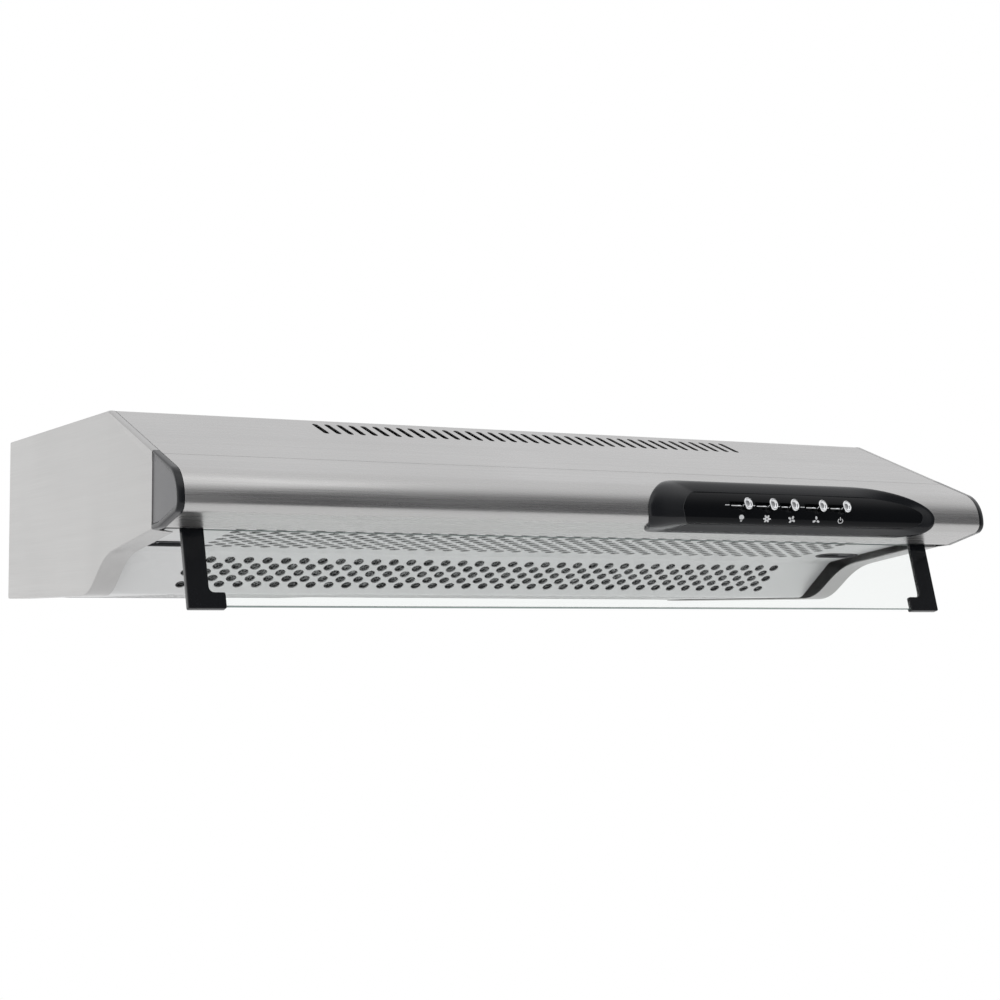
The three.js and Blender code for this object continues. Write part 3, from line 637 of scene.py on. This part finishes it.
def panel_outline(x0, x1, z0, z1, left, right, low):
    """The control panel's outline: square below, rounded at its left end and tapered at its right."""
    return on_nose(np.concatenate([
        bezier((x0 + low, z0), (x1 - 3 * low, z0), steps=30),
        bezier((x1 - 3 * low, z0), (x1, z0 + 1), (x1, z0 + 14)),
        bezier((x1, z0 + 14), (x1, z0 + 0.67 * (z1 - z0)), (x1 - right / 2, z1), (x1 - right, z1), steps=20),
        bezier((x1 - right, z1), (x0 + left, z1), steps=30),
        bezier((x0 + left, z1), (x0 + 0.42 * left, z1), (x0, z1 - 12), (x0, z0 + 16), steps=20),
        bezier((x0, z0 + 16), (x0, z0), (x0 + low, z0))]))


def bezel_outline():
    return panel_outline(*BEZEL)


def face_outline():
    return panel_outline(*FACE)


class HOOD_OT_front(HoodOperator, bpy.types.Operator):
    """The rounded steel front, open where the control panel sits, with its lip turned up behind"""
    bl_idname = "hood.front"
    bl_label = "Rounded Front"

    def execute(self, context):
        corner = [NOSE.points[-2], NOSE.points[-1], (NOSE_BACK, NOSE.points[-1][1] + 9)]
        line = np.concatenate([NOSE.points[:-2], softened(corner, (0, 1.2, 0), 5, closed=False)])
        section, half = Bent(line), HALF - CAP_THICK - 0.4
        across, down = np.array([12.0, 334.0]), np.array([5.0, NOSE.end - 5])
        xs = lines(-half, np.linspace(-300, 0, 11), np.linspace(*across, 67), half)
        ss = lines(section.s, down)
        flat, faces = window_strips(xs, ss, [(*across, *down)])
        outer = border(between(xs, *across), between(ss, *down))
        hole = on_rays(bezel_outline(), outer)
        middle = hole.mean(0)
        ring = collar(outer, hole + (middle - hole) * (0.012, 0.05), 10)
        flat, faces = welded(*joined((flat, faces), ring))
        make("front_skin", folded(section, flat, faces), "brushed_steel", "front_fascia", bend=35)
        return {"FINISHED"}


def lower_edge():
    """The side panel's lower edge from the end cap to the wall, as (y, z)."""
    curve = bezier((-345, 35), (-300, 29), (-292, 0), (-258, 0), steps=36)
    lead = bezier((CAP_Y + 0.4, 47.9), (-345, 35), steps=10)
    return np.concatenate([lead, curve, bezier((-258, 0), (0, 0), steps=12), [(0, 0)]])


class HOOD_OT_sides(HoodOperator, bpy.types.Operator):
    """The two side panels, each one sheet: top flange, face and curved bottom flange"""
    bl_idname = "hood.sides"
    bl_label = "Side Panels"

    def execute(self, context):
        lower = lower_edge()
        y, low = lower.T
        high = np.where(y > RIDGE_Y, HEIGHT, HEIGHT + SLOPE * (y - RIDGE_Y))
        r = 1.6
        a = np.linspace(0, math.pi / 2, 6)
        wide = np.where(y < -440, 1.7, 20.0)[:, None]
        tops, feet = np.array([CAP_THICK, 3.4]), np.linspace(0, 1, 4)[1:]

        def skin(d):
            """Distances in from the outer face and heights of one skin, d inside the other."""
            turn = r - d
            x_top = np.concatenate([tops, r - turn * np.sin(a)])
            z_top = np.concatenate([[-d, -d], turn * np.cos(a) - r])
            x = np.concatenate([np.tile(x_top, (len(y), 1)), np.tile(r - turn * np.cos(a), (len(y), 1)),
                                r + (wide - r) * feet], 1)
            foot = np.concatenate([r - turn * np.sin(a), np.full(3, d)])
            z = np.concatenate([high[:, None] + z_top, low[:, None] + foot], 1)
            return np.stack([HALF - x, np.tile(y[:, None], x.shape[1]), z], -1)

        outer, inner = skin(0.0), skin(SHEET)
        part = skins(outer.reshape(-1, 3), inner.reshape(-1, 3), quads(*outer.shape[:2]))
        slope_end = CAP_Y + 0.4
        strip = [(RIDGE_Y, HEIGHT - 1), (slope_end, HEIGHT + SLOPE * (slope_end - RIDGE_Y) - 1),
                 (slope_end, HEIGHT + SLOPE * (slope_end - RIDGE_Y) - 9), (RIDGE_Y, HEIGHT - 3)]
        lap = stood(slab(softened(strip, 0.6, 2), HALF - 0.3, HALF + 0.35, 0.3), "x")
        for side, word in SIDES:
            make(f"{word}_side", mirrored(joined(part, lap), side), "satin_steel",
                 f"{word}_side_panel", bend=35)
        return {"FINISHED"}


class HOOD_OT_caps(HoodOperator, bpy.types.Operator):
    """The end caps of the front: a black rim that widens from the top, round a grey plate"""
    bl_idname = "hood.caps"
    bl_label = "End Caps"

    def execute(self, context):
        path = np.concatenate([nose_line(CAP_Y, 48), [(CAP_Y, 47.9)]])
        along = length_along(path) / length_along(path)[-1]
        width = 1.6 + 2.6 * np.clip(along / 0.35, 0, 1)
        section = [(0, HALF - CAP_THICK), (0, HALF - 1), (0.12, HALF - 0.3), (0.3, HALF), (0.8, HALF),
                   (0.95, HALF - 0.2), (1, HALF - 0.7), (1, HALF - CAP_THICK)]
        rim = [np.column_stack([np.full(len(path), x), moved_in(path, width * share, closed=False)])
               for share, x in section]
        rim = surface(np.stack(rim, 1), ring_columns=True, lids=True)
        inner = moved_in(path, width + 0.3, closed=False)
        plate = stood(slab(inner, HALF - 3.4, HALF - 0.9, 0.5), "x")
        for side, word in SIDES:
            make(f"{word}_cap_rim", mirrored(rim, side), "gloss_black", f"{word}_end_rim", bend=50)
            make(f"{word}_cap_plate", mirrored(plate, side), "grey_plastic", f"{word}_end_plate",
                 bend=50)
        return {"FINISHED"}


# ---- Controls ----

KNOB_TILT = math.asin((KNOB_Z - NOSE_Z) / NOSE_R)
FACE_DEPTH = 1.5


def at_knob(part, x):
    """A part drawn about its third axis, stood out of the front at knob height."""
    return stood(part, "y", (x, NOSE_Y - NOSE_R * math.cos(KNOB_TILT), KNOB_Z), -KNOB_TILT)


class HOOD_OT_bezel(HoodOperator, bpy.types.Operator):
    """The black bezel: a loop between two outlines whose section rises proud and slopes to the face"""
    bl_idname = "hood.bezel"
    bl_label = "Control Bezel"

    def execute(self, context):
        turn = np.linspace(0, 2 * math.pi, 280, endpoint=False)
        circle = np.stack([np.cos(turn), np.sin(turn)], -1)
        loops = [on_rays(o, (o.min(0) + o.max(0)) / 2 + circle * np.ptp(o, axis=0) / 2)
                 for o in (bezel_outline(), face_outline())]
        section = smoothed([(0.0, 2.0), (0.0, -0.8), (0.03, -2.0), (0.10, -2.6), (0.2, -2.7), (0.35, -2.3),
                            (0.55, -1.2), (0.75, 0.0), (0.92, 1.0), (1.0, 1.6), (1.0, 3.2)], 41)
        outer, inner = loops
        rows = [NOSE.place(outer + share * (inner - outer), depth) for share, depth in section]
        part = surface(np.array(rows), ring_rows=True, ring_columns=True)
        make("bezel", part, "gloss_black", "control_bezel", bend=60)
        return {"FINISHED"}


def track_windows():
    """(x0, x1, s0, s1) of each knob's track on the face."""
    s0, s1 = NOSE.where(1, KNOB_Z + 3.4), NOSE.where(1, KNOB_Z - 3.2)
    return [(x - 15, x + 4.4, s0, s1) for x in TRACK_ENDS]


class HOOD_OT_face(HoodOperator, bpy.types.Operator):
    """The control face: a height field over a grid that is pressed in to its outline, sunk at the
    knobs' tracks, with its printed symbols"""
    bl_idname = "hood.face"
    bl_label = "Control Face"

    def execute(self, context):
        outline = face_outline()
        low, high = outline.min(0), outline.max(0)
        pits, step = track_windows(), np.array([-0.2, 0.2])
        xs = lines(np.linspace(low[0], high[0], 50), *[np.add.outer(p[:2], step).ravel() for p in pits])
        ss = lines(np.linspace(low[1], high[1], 36), *[np.add.outer(p[2:], step).ravel() for p in pits[:1]])
        middle = outline.mean(0)[0]
        ends = [half[np.argsort(half[:, 1])] for half in (outline[outline[:, 0] < middle],
                                                          outline[outline[:, 0] >= middle])]
        left, right = (np.interp(ss, e[:, 1], e[:, 0])[:, None] for e in ends)
        flat = np.stack(np.meshgrid(xs, ss), -1)
        flat[..., 0] = np.clip(flat[..., 0], left - 0.4, right + 0.4)
        sunk = np.zeros(flat.shape[:2])
        for x0, x1, s0, s1 in pits:
            inside = (flat[..., 0] > x0) & (flat[..., 0] < x1) & (flat[..., 1] > s0) & (flat[..., 1] < s1)
            sunk[inside] = 3.4
        part = skins(NOSE.place(flat, FACE_DEPTH + sunk).reshape(-1, 3),
                     NOSE.place(flat, 6.0).reshape(-1, 3), quads(*flat.shape[:2]))
        make("face", part, "face_black", "control_face", bend=35)
        rails, dashes = [], []
        for x0, x1, *_ in pits:
            reach = np.column_stack([np.linspace(x0 + 1, x1 - 1, 8), np.full(8, NOSE.where(1, KNOB_Z + 0.2))])
            rails.append(tube(NOSE.place(reach, 2.2), 0.55, 8))
            dash = rectangle(x0 - 5.4, x0 - 1.0, -0.35, 0.35) + (0, NOSE.where(1, KNOB_Z + 0.2))
            dashes.append(printed(softened(dash, 0.25, 2)))
        make("track_rails", joined(*rails), "bright_chrome")
        make("symbols", joined(*dashes, *symbols()), "white_print")
        return {"FINISHED"}


def printed(outline):
    """A thin raised print of an (x, length) outline on the control face."""
    n = len(outline)
    grid = np.array([NOSE.place(outline, FACE_DEPTH + d) for d in (0.15, -0.12)])
    return surface(grid.reshape(2, n, 3), ring_columns=True, lids=True)


def petals(count, reach, width, start=0.0):
    """Blades round a hub: each an ellipse whose middle stands off along its own angle."""
    t = np.linspace(0, 2 * math.pi, 14, endpoint=False)
    made = []
    for a in start + np.arange(count) * 2 * math.pi / count:
        along, across = 0.58 * reach + 0.42 * reach * np.cos(t), width * np.sin(t)
        made.append(np.column_stack([along * math.cos(a) - across * math.sin(a),
                                     along * math.sin(a) + across * math.cos(a)]))
    return made


def ring_piece(radius, width, start, end):
    out, back = arc(0, 0, radius + width / 2, start, end, 16), arc(0, 0, radius - width / 2, end, start, 16)
    return np.concatenate([out, back])


def symbols():
    """The printed signs under the knobs: lamp, three fans of fewer and fewer blades, and power."""
    lamp = [arc(0, -0.7, 1.9, math.radians(125), math.radians(415), 18), rectangle(-0.8, 0.8, 1.3, 1.8),
            rectangle(-0.7, 0.7, 2.2, 2.7)]
    power = [ring_piece(1.9, 0.55, math.radians(-60), math.radians(240)), rectangle(-0.28, 0.28, -2.8, -0.4)]
    signs = [lamp, petals(6, 3.1, 0.75), petals(4, 3.1, 0.8, 0.5), petals(3, 3.1, 0.85, -math.pi / 2), power]
    level = float(NOSE.where(1, 65.3))
    return [printed(1.3 * outline + (x - 5.0, level))
            for x, sign in zip(TRACK_ENDS, signs) for outline in sign]


class HOOD_OT_knobs(HoodOperator, bpy.types.Operator):
    """Five oval chrome slider knobs: a turned section with a dished middle, narrowed across"""
    bl_idname = "hood.knobs"
    bl_label = "Slider Knobs"

    def execute(self, context):
        section = smoothed([(0, 2.6), (2.2, 2.7), (3.1, 3.1), (4.0, 4.3), (4.8, 4.5), (5.4, 3.6), (5.3, 2.0),
                            (4.4, 0.4), (3.4, -0.4), (0, -0.4)], 46)
        section[[0, -1], 0] = 0
        cap = turned(section, 40)
        cap = cap[0] * (0.76, 1, 1), cap[1]
        stem = slab(softened(rectangle(-1.5, 1.5, -1.4, 1.4), 0.4, 2), -6.5, 0.4, 0.3)
        for name, x in KNOBS.items():
            make(f"{name}_slider", at_knob(joined(cap, stem), x), "bright_chrome",
                 f"{name}_knob", f"{name}_knob", bend=50)
        return {"FINISHED"}


# ---- Visor ----

def at_visor(part, axis="y"):
    """A part drawn about the visor's pivot, leaned with the glass."""
    return stood(part, axis, (0, *VISOR_PIVOT), -math.radians(VISOR_TILT))


class HOOD_OT_visor(HoodOperator, bpy.types.Operator):
    """The folding visor: a polished glass plate between two black brackets with feet, on its pins"""
    bl_idname = "hood.visor"
    bl_label = "Glass Visor"

    def execute(self, context):
        plate = slab(softened(rectangle(-GLASS_HALF, GLASS_HALF, 2 - VISOR_DROP, -4), 2.0, 4), -2, 2, 0.5)
        glass = make("glass_plate", at_visor(plate), "clear_glass", "visor_glass", "visor", bend=30)
        glass.data.materials.append(finishes()["glass_edge"])
        normals = np.zeros(len(glass.data.polygons) * 3)
        glass.data.polygons.foreach_get("normal", normals)
        lean = math.radians(VISOR_TILT)
        flat = abs(normals.reshape(-1, 3) @ (0, math.cos(lean), -math.sin(lean))) > 0.9
        glass.data.polygons.foreach_set("material_index", (~flat).astype(np.int32))
        outer, inner, toe = VISOR_HALF, VISOR_HALF - ARM_WIDTH, VISOR_HALF - TOE_LENGTH
        shape = [(outer, -VISOR_DROP), (outer, ARM_TOP), (inner, ARM_TOP), (inner, TOE_HEIGHT - VISOR_DROP),
                 (toe, TOE_HEIGHT - VISOR_DROP), (toe, -VISOR_DROP)]
        shape = softened(shape, [1.6, 2.2, 2.2, 5.0, 1.6, 1.6], 6)
        arm = stood(slab(shape, -3, 3, sizes().edge_radius * 1000, 4), "y")
        barrel = stood(slab(arc(0, 0, 3.4, 0, 2 * math.pi, 28)[:-1], inner, outer, 0.5), "x")
        pin = stood(slab(arc(0, 0, 1.8, 0, 2 * math.pi, 20)[:-1], 343, 368, 0.4), "x")
        for side, word in SIDES:
            make(f"{word}_bracket", at_visor(mirrored(joined(arm, barrel), side), "z"), "gloss_black",
                 f"{word}_visor_bracket", "visor", bend=45)
            make(f"{word}_pin", at_visor(mirrored(pin, side), "z"), "bright_chrome",
                 f"{word}_visor_pin", "visor")
        return {"FINISHED"}


# ---- Filter tray ----

TRAY_CORNERS = softened(TRAY_PATH, (0, 4, 4, 0), 6, closed=False)
TRAY = Bent(TRAY_CORNERS)
FIELD_HALF = 306.0  # the perforated width to one side
PITCH = 8.5  # half the distance between two holes of a row
COLUMNS = 71  # places across, every other one a hole
MESH_HALF, MESH_CUT = 350.0, 304.0  # the grease mesh, cut back beside the latches
CLIP_X, CLIP_Y, CLIP_HEIGHT = 346.0, (-112.0, -147.0), 9.0
FIELDS = ((14.8, 11), (141.0, 5), (202.0, 25))  # first row's length along the tray, and rows


def lattice(start, rows):
    """A staggered field of holes. Places stand PITCH apart both ways and every other one, as on a
    chess board, has a hole in a diamond cell: a ring from a circle to the diamond, both with sixteen
    points."""
    i, j = np.meshgrid(np.arange(COLUMNS), np.arange(rows))
    i, j = i[(i + j) % 2 == 0], j[(i + j) % 2 == 0]
    centre = np.column_stack([(i - (COLUMNS - 1) / 2) * PITCH, start + j * PITCH])
    turn = np.arange(16) * math.pi / 8
    circle = np.column_stack([np.cos(turn), np.sin(turn)])
    diamond = circle / np.abs(circle).sum(1, keepdims=True)
    quarter = np.linspace(0, 1, 5)[:-1]
    diamond = np.concatenate([np.column_stack(p) for p in (
        (1 - quarter, quarter), (-quarter, 1 - quarter), (quarter - 1, -quarter), (quarter, quarter - 1))])
    radius = sizes().hole_diameter * 500
    points = centre[:, None, None] + np.stack([circle * radius, diamond * PITCH])[None]
    ring = quads(2, 16, ring_columns=True)
    faces = (ring[None] + np.arange(len(centre))[:, None, None] * 32).reshape(-1, 4)
    return points.reshape(-1, 2), faces


def notches(start, rows):
    """The triangles between a field's diamonds and its straight edges, each a fan of four or eight."""
    quarter = np.linspace(0, 1, 5)[:, None]
    across, along = np.arange(1, COLUMNS - 1, 2), np.arange(1, rows - 1, 2)
    fans = [([(i - 1, e), (i, inner), (i + 1, e)], (i, e))
            for i in across for e, inner in ((-1, 0), (rows, rows - 1))]
    fans += [([(e, j - 1), (inner, j), (e, j + 1)], (e, j))
             for j in along for e, inner in ((-1, 0), (COLUMNS, COLUMNS - 1))]
    fans += [([(inner_x, s), (x, inner_s)], (x, s)) for x, inner_x in ((-1, 0), (COLUMNS, COLUMNS - 1))
             for s, inner_s in ((-1, 0), (rows, rows - 1))]
    parts = []
    for corners, hub in fans:
        c = np.array(corners, float)
        rim = np.concatenate([a + quarter * (b - a) for a, b in zip(c[:-1], c[1:])])
        k, n = np.arange(len(rim) - 1), len(rim)
        parts.append((np.vstack([rim, hub]), np.column_stack([k, k + 1, np.full((n - 1, 2), n)])))
    points, faces = joined(*parts)
    return np.column_stack([(points[:, 0] - (COLUMNS - 1) / 2) * PITCH, start + points[:, 1] * PITCH]), faces


def tray_pattern():
    """The tray's flat pattern: three fields of holes, plain sheet round them, two latch openings."""
    steps = np.arange(-1, COLUMNS + 1)
    xs = lines((steps - (COLUMNS - 1) / 2) * PITCH, np.linspace(FIELD_HALF, TRAY_HALF, 12),
               -np.linspace(FIELD_HALF, TRAY_HALF, 12))
    ss = lines(TRAY.s, *[start + np.arange(-1, rows + 1) * PITCH for start, rows in FIELDS])
    windows = [(-FIELD_HALF, FIELD_HALF, start - PITCH, start + rows * PITCH) for start, rows in FIELDS]
    front = FIELDS[0][0]
    s0, s1, middle = front + 7 * PITCH, front + 11 * PITCH, TRAY.where_y(LATCH_Y)
    parts = []
    for side in (-1, 1):
        x0, x1 = sorted((side * FIELD_HALF, side * TRAY_HALF))
        windows.append((x0, x1, s0, s1))
        outer = border(between(xs, x0, x1), between(ss, s0, s1))
        parts.append(collar(outer, slot_edge(outer, (side * LATCH_X, middle), LATCH_REACH, 0, 9.5), 2))
    parts += [make_field(start, rows) for start, rows in FIELDS for make_field in (lattice, notches)]
    return welded(*joined(window_strips(xs, ss, windows), *parts))


class HOOD_OT_tray(HoodOperator, bpy.types.Operator):
    """The perforated filter tray: a staggered pattern of holes folded along the tray's section, with
    side walls and hinge knuckles"""
    bl_idname = "hood.tray"
    bl_label = "Filter Tray"

    def execute(self, context):
        plate = folded(TRAY, *tray_pattern())
        path = TRAY.points
        walls = []
        for side in (-1, 1):
            edge = np.array([[[side * TRAY_HALF, y, z + h] for h in (0.4, 3, 8, 8.6)]
                             for y, z in path[path[:, 0] < -22]])
            inner = edge - np.array([side * SHEET, 0, 0])
            walls.append(skins(edge.reshape(-1, 3), inner.reshape(-1, 3), quads(*edge.shape[:2])))
        ring = softened([(2.9, -12), (5, -12), (5, 12), (2.9, 12)], 0.4, 2)
        knuckles = [stood(turned(ring, 32), "x", (side * HINGE_X, *HINGE)) for side, _ in SIDES]
        make("tray", joined(plate, *walls, *knuckles), "tray_aluminium", "filter_grille", "filter",
             bend=35)
        return {"FINISHED"}


class HOOD_OT_filter(HoodOperator, bpy.types.Operator):
    """The grease mesh that lies in the tray, its faces waved by a sum of sines, and its wire clip"""
    bl_idname = "hood.filter"
    bl_label = "Grease Mesh"

    def execute(self, context):
        section = Bent(moved_in(TRAY_CORNERS, 1.5, closed=False))
        low, high = 9.0, section.end - 18
        cup = section.where_y(LATCH_Y)
        side = np.linspace(MESH_CUT, MESH_HALF, 8)
        xs = lines(np.linspace(-MESH_CUT, MESH_CUT, 120), side, -side)
        ss = lines(np.linspace(low, high, 80), section.s[(section.s > low) & (section.s < high)],
                   cup - 17, cup + 17)
        windows = [(MESH_CUT, MESH_HALF, cup - 17, cup + 17), (-MESH_HALF, -MESH_CUT, cup - 17, cup + 17)]
        flat, faces = window_strips(xs, ss, windows)
        used, faces = np.unique(faces, return_inverse=True)
        flat, faces = flat[used], faces.reshape(-1, 4)
        x, s = flat.T
        wave = 0.45 * np.sin(x * 0.11 + 2 * np.sin(s * 0.05)) * np.sin(s * 0.13 + np.sin(x * 0.07))
        wave += 0.3 * np.sin(x * 0.31 + s * 0.17) + 0.25 * np.sin(s * 0.41 - x * 0.23)
        part = skins(section.place(flat, 0.9 + 0.3 * wave), section.place(flat, 5.2 + 0.7 * wave), faces)
        make("grease_mesh", part, "filter_mesh", "filter_mat", "filter", bend=60)
        back, front = CLIP_Y
        path = [(-CLIP_X, back), (-CLIP_X, front), (CLIP_X, front), (CLIP_X, back)]
        wire = softened(path, (0, 9, 9, 0), 8, closed=False)
        make("mesh_clip", tube(np.column_stack([wire, np.full(len(wire), CLIP_HEIGHT)]), 1.3, 10),
             "bright_chrome", "mat_clip", "filter")
        return {"FINISHED"}


class HOOD_OT_latches(HoodOperator, bpy.types.Operator):
    """The two latches: an oval cup drawn into the tray's slope, and a ribbed grip that slides in it"""
    bl_idname = "hood.latches"
    bl_label = "Latches"

    def execute(self, context):
        fall = (TRAY_PATH[1][1] - TRAY_PATH[0][1]) / (TRAY_PATH[1][0] - TRAY_PATH[0][0])
        height = TRAY_PATH[0][1] + fall * (LATCH_Y - TRAY_PATH[0][0])
        oval = stadium(LATCH_REACH, 9.3, 14)
        section = [(4.4, 9.2), (1.4, 9.0), (0.1, 7.4), (0.0, 1.2), (-1.6, 0.0), (-1.8, -0.5), (-1.3, -0.9),
                   (0.2, -0.9), (0.8, -0.4), (1.0, 0.6), (1.2, 6.6), (2.2, 7.9), (4.4, 8.2)]
        rows = [np.column_stack([moved_in(oval, d), np.full(len(oval), h)]) for d, h in section]
        cup = surface(np.array(rows), ring_columns=True, lids=True)
        grip = slab(softened(rectangle(3, 18.6, -5.6, 5.6), 1.6, 4), 1.8, 6.8, 0.6)
        tongue = slab(softened(rectangle(17.5, 23.2, -4, 4), 0.6, 2), 2.8, 5.6, 0.4)
        ribs = [slab(softened(rectangle(x - 0.8, x + 0.8, -5.2, 5.2), 0.5, 2), 0.7, 2.2, 0.4)
                for x in (6, 9, 12, 15)]
        slide, tilt = joined(grip, tongue, *ribs), math.atan(fall)
        for side, word in SIDES:
            at = (side * LATCH_X, LATCH_Y, height)
            make(f"{word}_cup", stood(mirrored(cup, side), "z", at, tilt), "satin_black",
                 f"{word}_latch_cup", "filter", bend=50)
            make(f"{word}_grip", stood(mirrored(slide, side), "z", at, tilt), "grey_plastic",
                 f"{word}_latch", f"{word}_latch", bend=45)
        return {"FINISHED"}


# ---- Parts behind the skins ----

class HOOD_OT_works(HoodOperator, bpy.types.Operator):
    """The blower, wiring, hinges and flat sheets keep their modelled shapes and get their finishes"""
    bl_idname = "hood.works"
    bl_label = "Works and Fixings"

    def execute(self, context):
        wear = {
            "galvanised_steel": ("back_panel", "outlet_blank", "front_rail", "left_filter_hinge",
                                 "right_filter_hinge", "blower_housing", "blower_base", "motor_body",
                                 "motor_bracket"),
            "satin_black": ("switch_block", "left_visor_hinge", "right_visor_hinge", "inlet_guard",
                            "terminal_box", "cord_gland"),
            "grey_plastic": ("capacitor",),
            "grey_nylon": ("impeller",),
            "white_plastic": ("lamp_holder",),
            "opal_glass": ("lamp_bulb",),
            "tray_aluminium": ("lamp_reflector",),
            "bright_chrome": ("motor_shaft", *[f"blower_screw_{i}" for i in range(1, 5)]),
        }
        for finish, names in wear.items():
            for name in names:
                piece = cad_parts[name]
                piece.data.materials.clear()
                piece.data.materials.append(finishes()[finish])
        return {"FINISHED"}


# ---- Stage ----

LENS, CAMERA_AT, CAMERA_TURN = 72.2, (-0.8445, -1.7547, -0.1715), (93.46, 0, -27.37)
DARK_WAY = (0.42, -0.90, 0.12)  # the direction in which the surround is darkest
FLOOR_Z, FLOOR_REACH = -2.4, 7.0


class HOOD_OT_stage(HoodOperator, bpy.types.Operator):
    """A pale floor, a soft overhead light, a surround that is pale all round and darker towards the
    viewer, and the camera"""
    bl_idname = "hood.stage"
    bl_label = "Stage"

    def execute(self, context):
        scene = context.scene
        floor_material, tree, shader = blank("studio_floor", Roughness=0.9, Emission_Strength=0.12)
        cloud = noise(tree, place_of(tree), 0.8, 2)
        pale = tuple(colours().backdrop)
        tone = tinted(tree, cloud, shade(pale, 0.99), shade(pale, 1.01))
        tree.links.new(tone, shader.inputs["Base Color"])
        mesh = bpy.data.meshes.new("floor")
        xs = np.linspace(-FLOOR_REACH, FLOOR_REACH, 29)
        grid = np.stack([*np.meshgrid(xs, xs), np.full((29, 29), FLOOR_Z)], -1)
        mesh.from_pydata(grid.reshape(-1, 3), [], quads(29, 29).tolist())
        mesh.materials.append(floor_material)
        floor = bpy.data.objects.new("floor", mesh)
        scene.collection.objects.link(floor)

        world = bpy.data.worlds.new("studio")
        scene.world = world
        world.use_nodes = True
        tree = world.node_tree
        ground = tree.nodes["Background"]
        way = node(tree, "TexCoord").outputs["Generated"]
        front = node(tree, "VectorMath", {0: way, 1: DARK_WAY}, operation="DOT_PRODUCT")
        dark = node(tree, "MapRange", {"Value": front.outputs["Value"], 1: 0.45, 2: 0.97, 3: 0.0, 4: 1.0},
                    interpolation_type="SMOOTHSTEP").outputs[0]
        height = node(tree, "SeparateXYZ", {0: way}).outputs[2]
        high = node(tree, "MapRange", {"Value": height, 1: 0.0, 2: 0.45, 3: 0.0, 4: 1.0}).outputs[0]
        sky = tinted(tree, high, (1.0, 1.0, 1.0), (0.84, 0.84, 0.85))
        tone = node(tree, "Mix", {"Factor": dark, 6: sky, 7: (0.14, 0.14, 0.145, 1)},
                    data_type="RGBA").outputs[2]
        seen = node(tree, "LightPath").outputs["Is Camera Ray"]
        plain = node(tree, "Mix", {"Factor": seen, 6: tone, 7: (1, 1, 1, 1)}, data_type="RGBA").outputs[2]
        tree.links.new(plain, ground.inputs["Color"])
        ground.inputs["Strength"].default_value = 1.0

        lamp = bpy.data.lights.new("overhead", "AREA")
        lamp.shape, lamp.size, lamp.size_y, lamp.energy = "RECTANGLE", 2.4, 1.6, 5
        light = bpy.data.objects.new("overhead", lamp)
        light.location = (-0.5, -0.9, 1.7)
        light.rotation_euler = (math.radians(28), 0, math.radians(-20))
        scene.collection.objects.link(light)

        lens = bpy.data.cameras.new("camera")
        lens.lens, lens.sensor_width, lens.clip_start = LENS, 36.0, 0.05
        camera = bpy.data.objects.new("camera", lens)
        camera.location = CAMERA_AT
        camera.rotation_euler = Euler([math.radians(a) for a in CAMERA_TURN])
        scene.collection.objects.link(camera)
        scene.camera = camera
        scene.view_settings.view_transform = "Standard"
        return {"FINISHED"}


class HOOD_PT_panel(bpy.types.Panel):
    bl_label = "Range Hood"
    bl_idname = "HOOD_PT_panel"
    bl_space_type = "VIEW_3D"
    bl_region_type = "UI"
    bl_category = "Range Hood"

    def draw(self, context):
        for group in (context.scene.hood_sizes, context.scene.hood_colours):
            for name in group.__annotations__:
                self.layout.prop(group, name)
        for operator in BUILDERS:
            self.layout.operator(operator.bl_idname)


BUILDERS = (HOOD_OT_stage, HOOD_OT_canopy, HOOD_OT_front, HOOD_OT_sides, HOOD_OT_caps, HOOD_OT_bezel,
            HOOD_OT_face, HOOD_OT_knobs, HOOD_OT_visor, HOOD_OT_tray, HOOD_OT_filter, HOOD_OT_latches,
            HOOD_OT_works)
CLASSES = (HoodSizes, HoodColours, *BUILDERS, HOOD_PT_panel)


def register():
    for each in CLASSES:
        bpy.utils.register_class(each)
    bpy.types.Scene.hood_sizes = PointerProperty(type=HoodSizes)
    bpy.types.Scene.hood_colours = PointerProperty(type=HoodColours)


def unregister():
    del bpy.types.Scene.hood_colours, bpy.types.Scene.hood_sizes
    for each in reversed(CLASSES):
        bpy.utils.unregister_class(each)


def main():
    register()
    for builder in BUILDERS:
        group, name = builder.bl_idname.split(".")
        getattr(getattr(bpy.ops, group), name)()


if __name__ == "__main__":
    main()
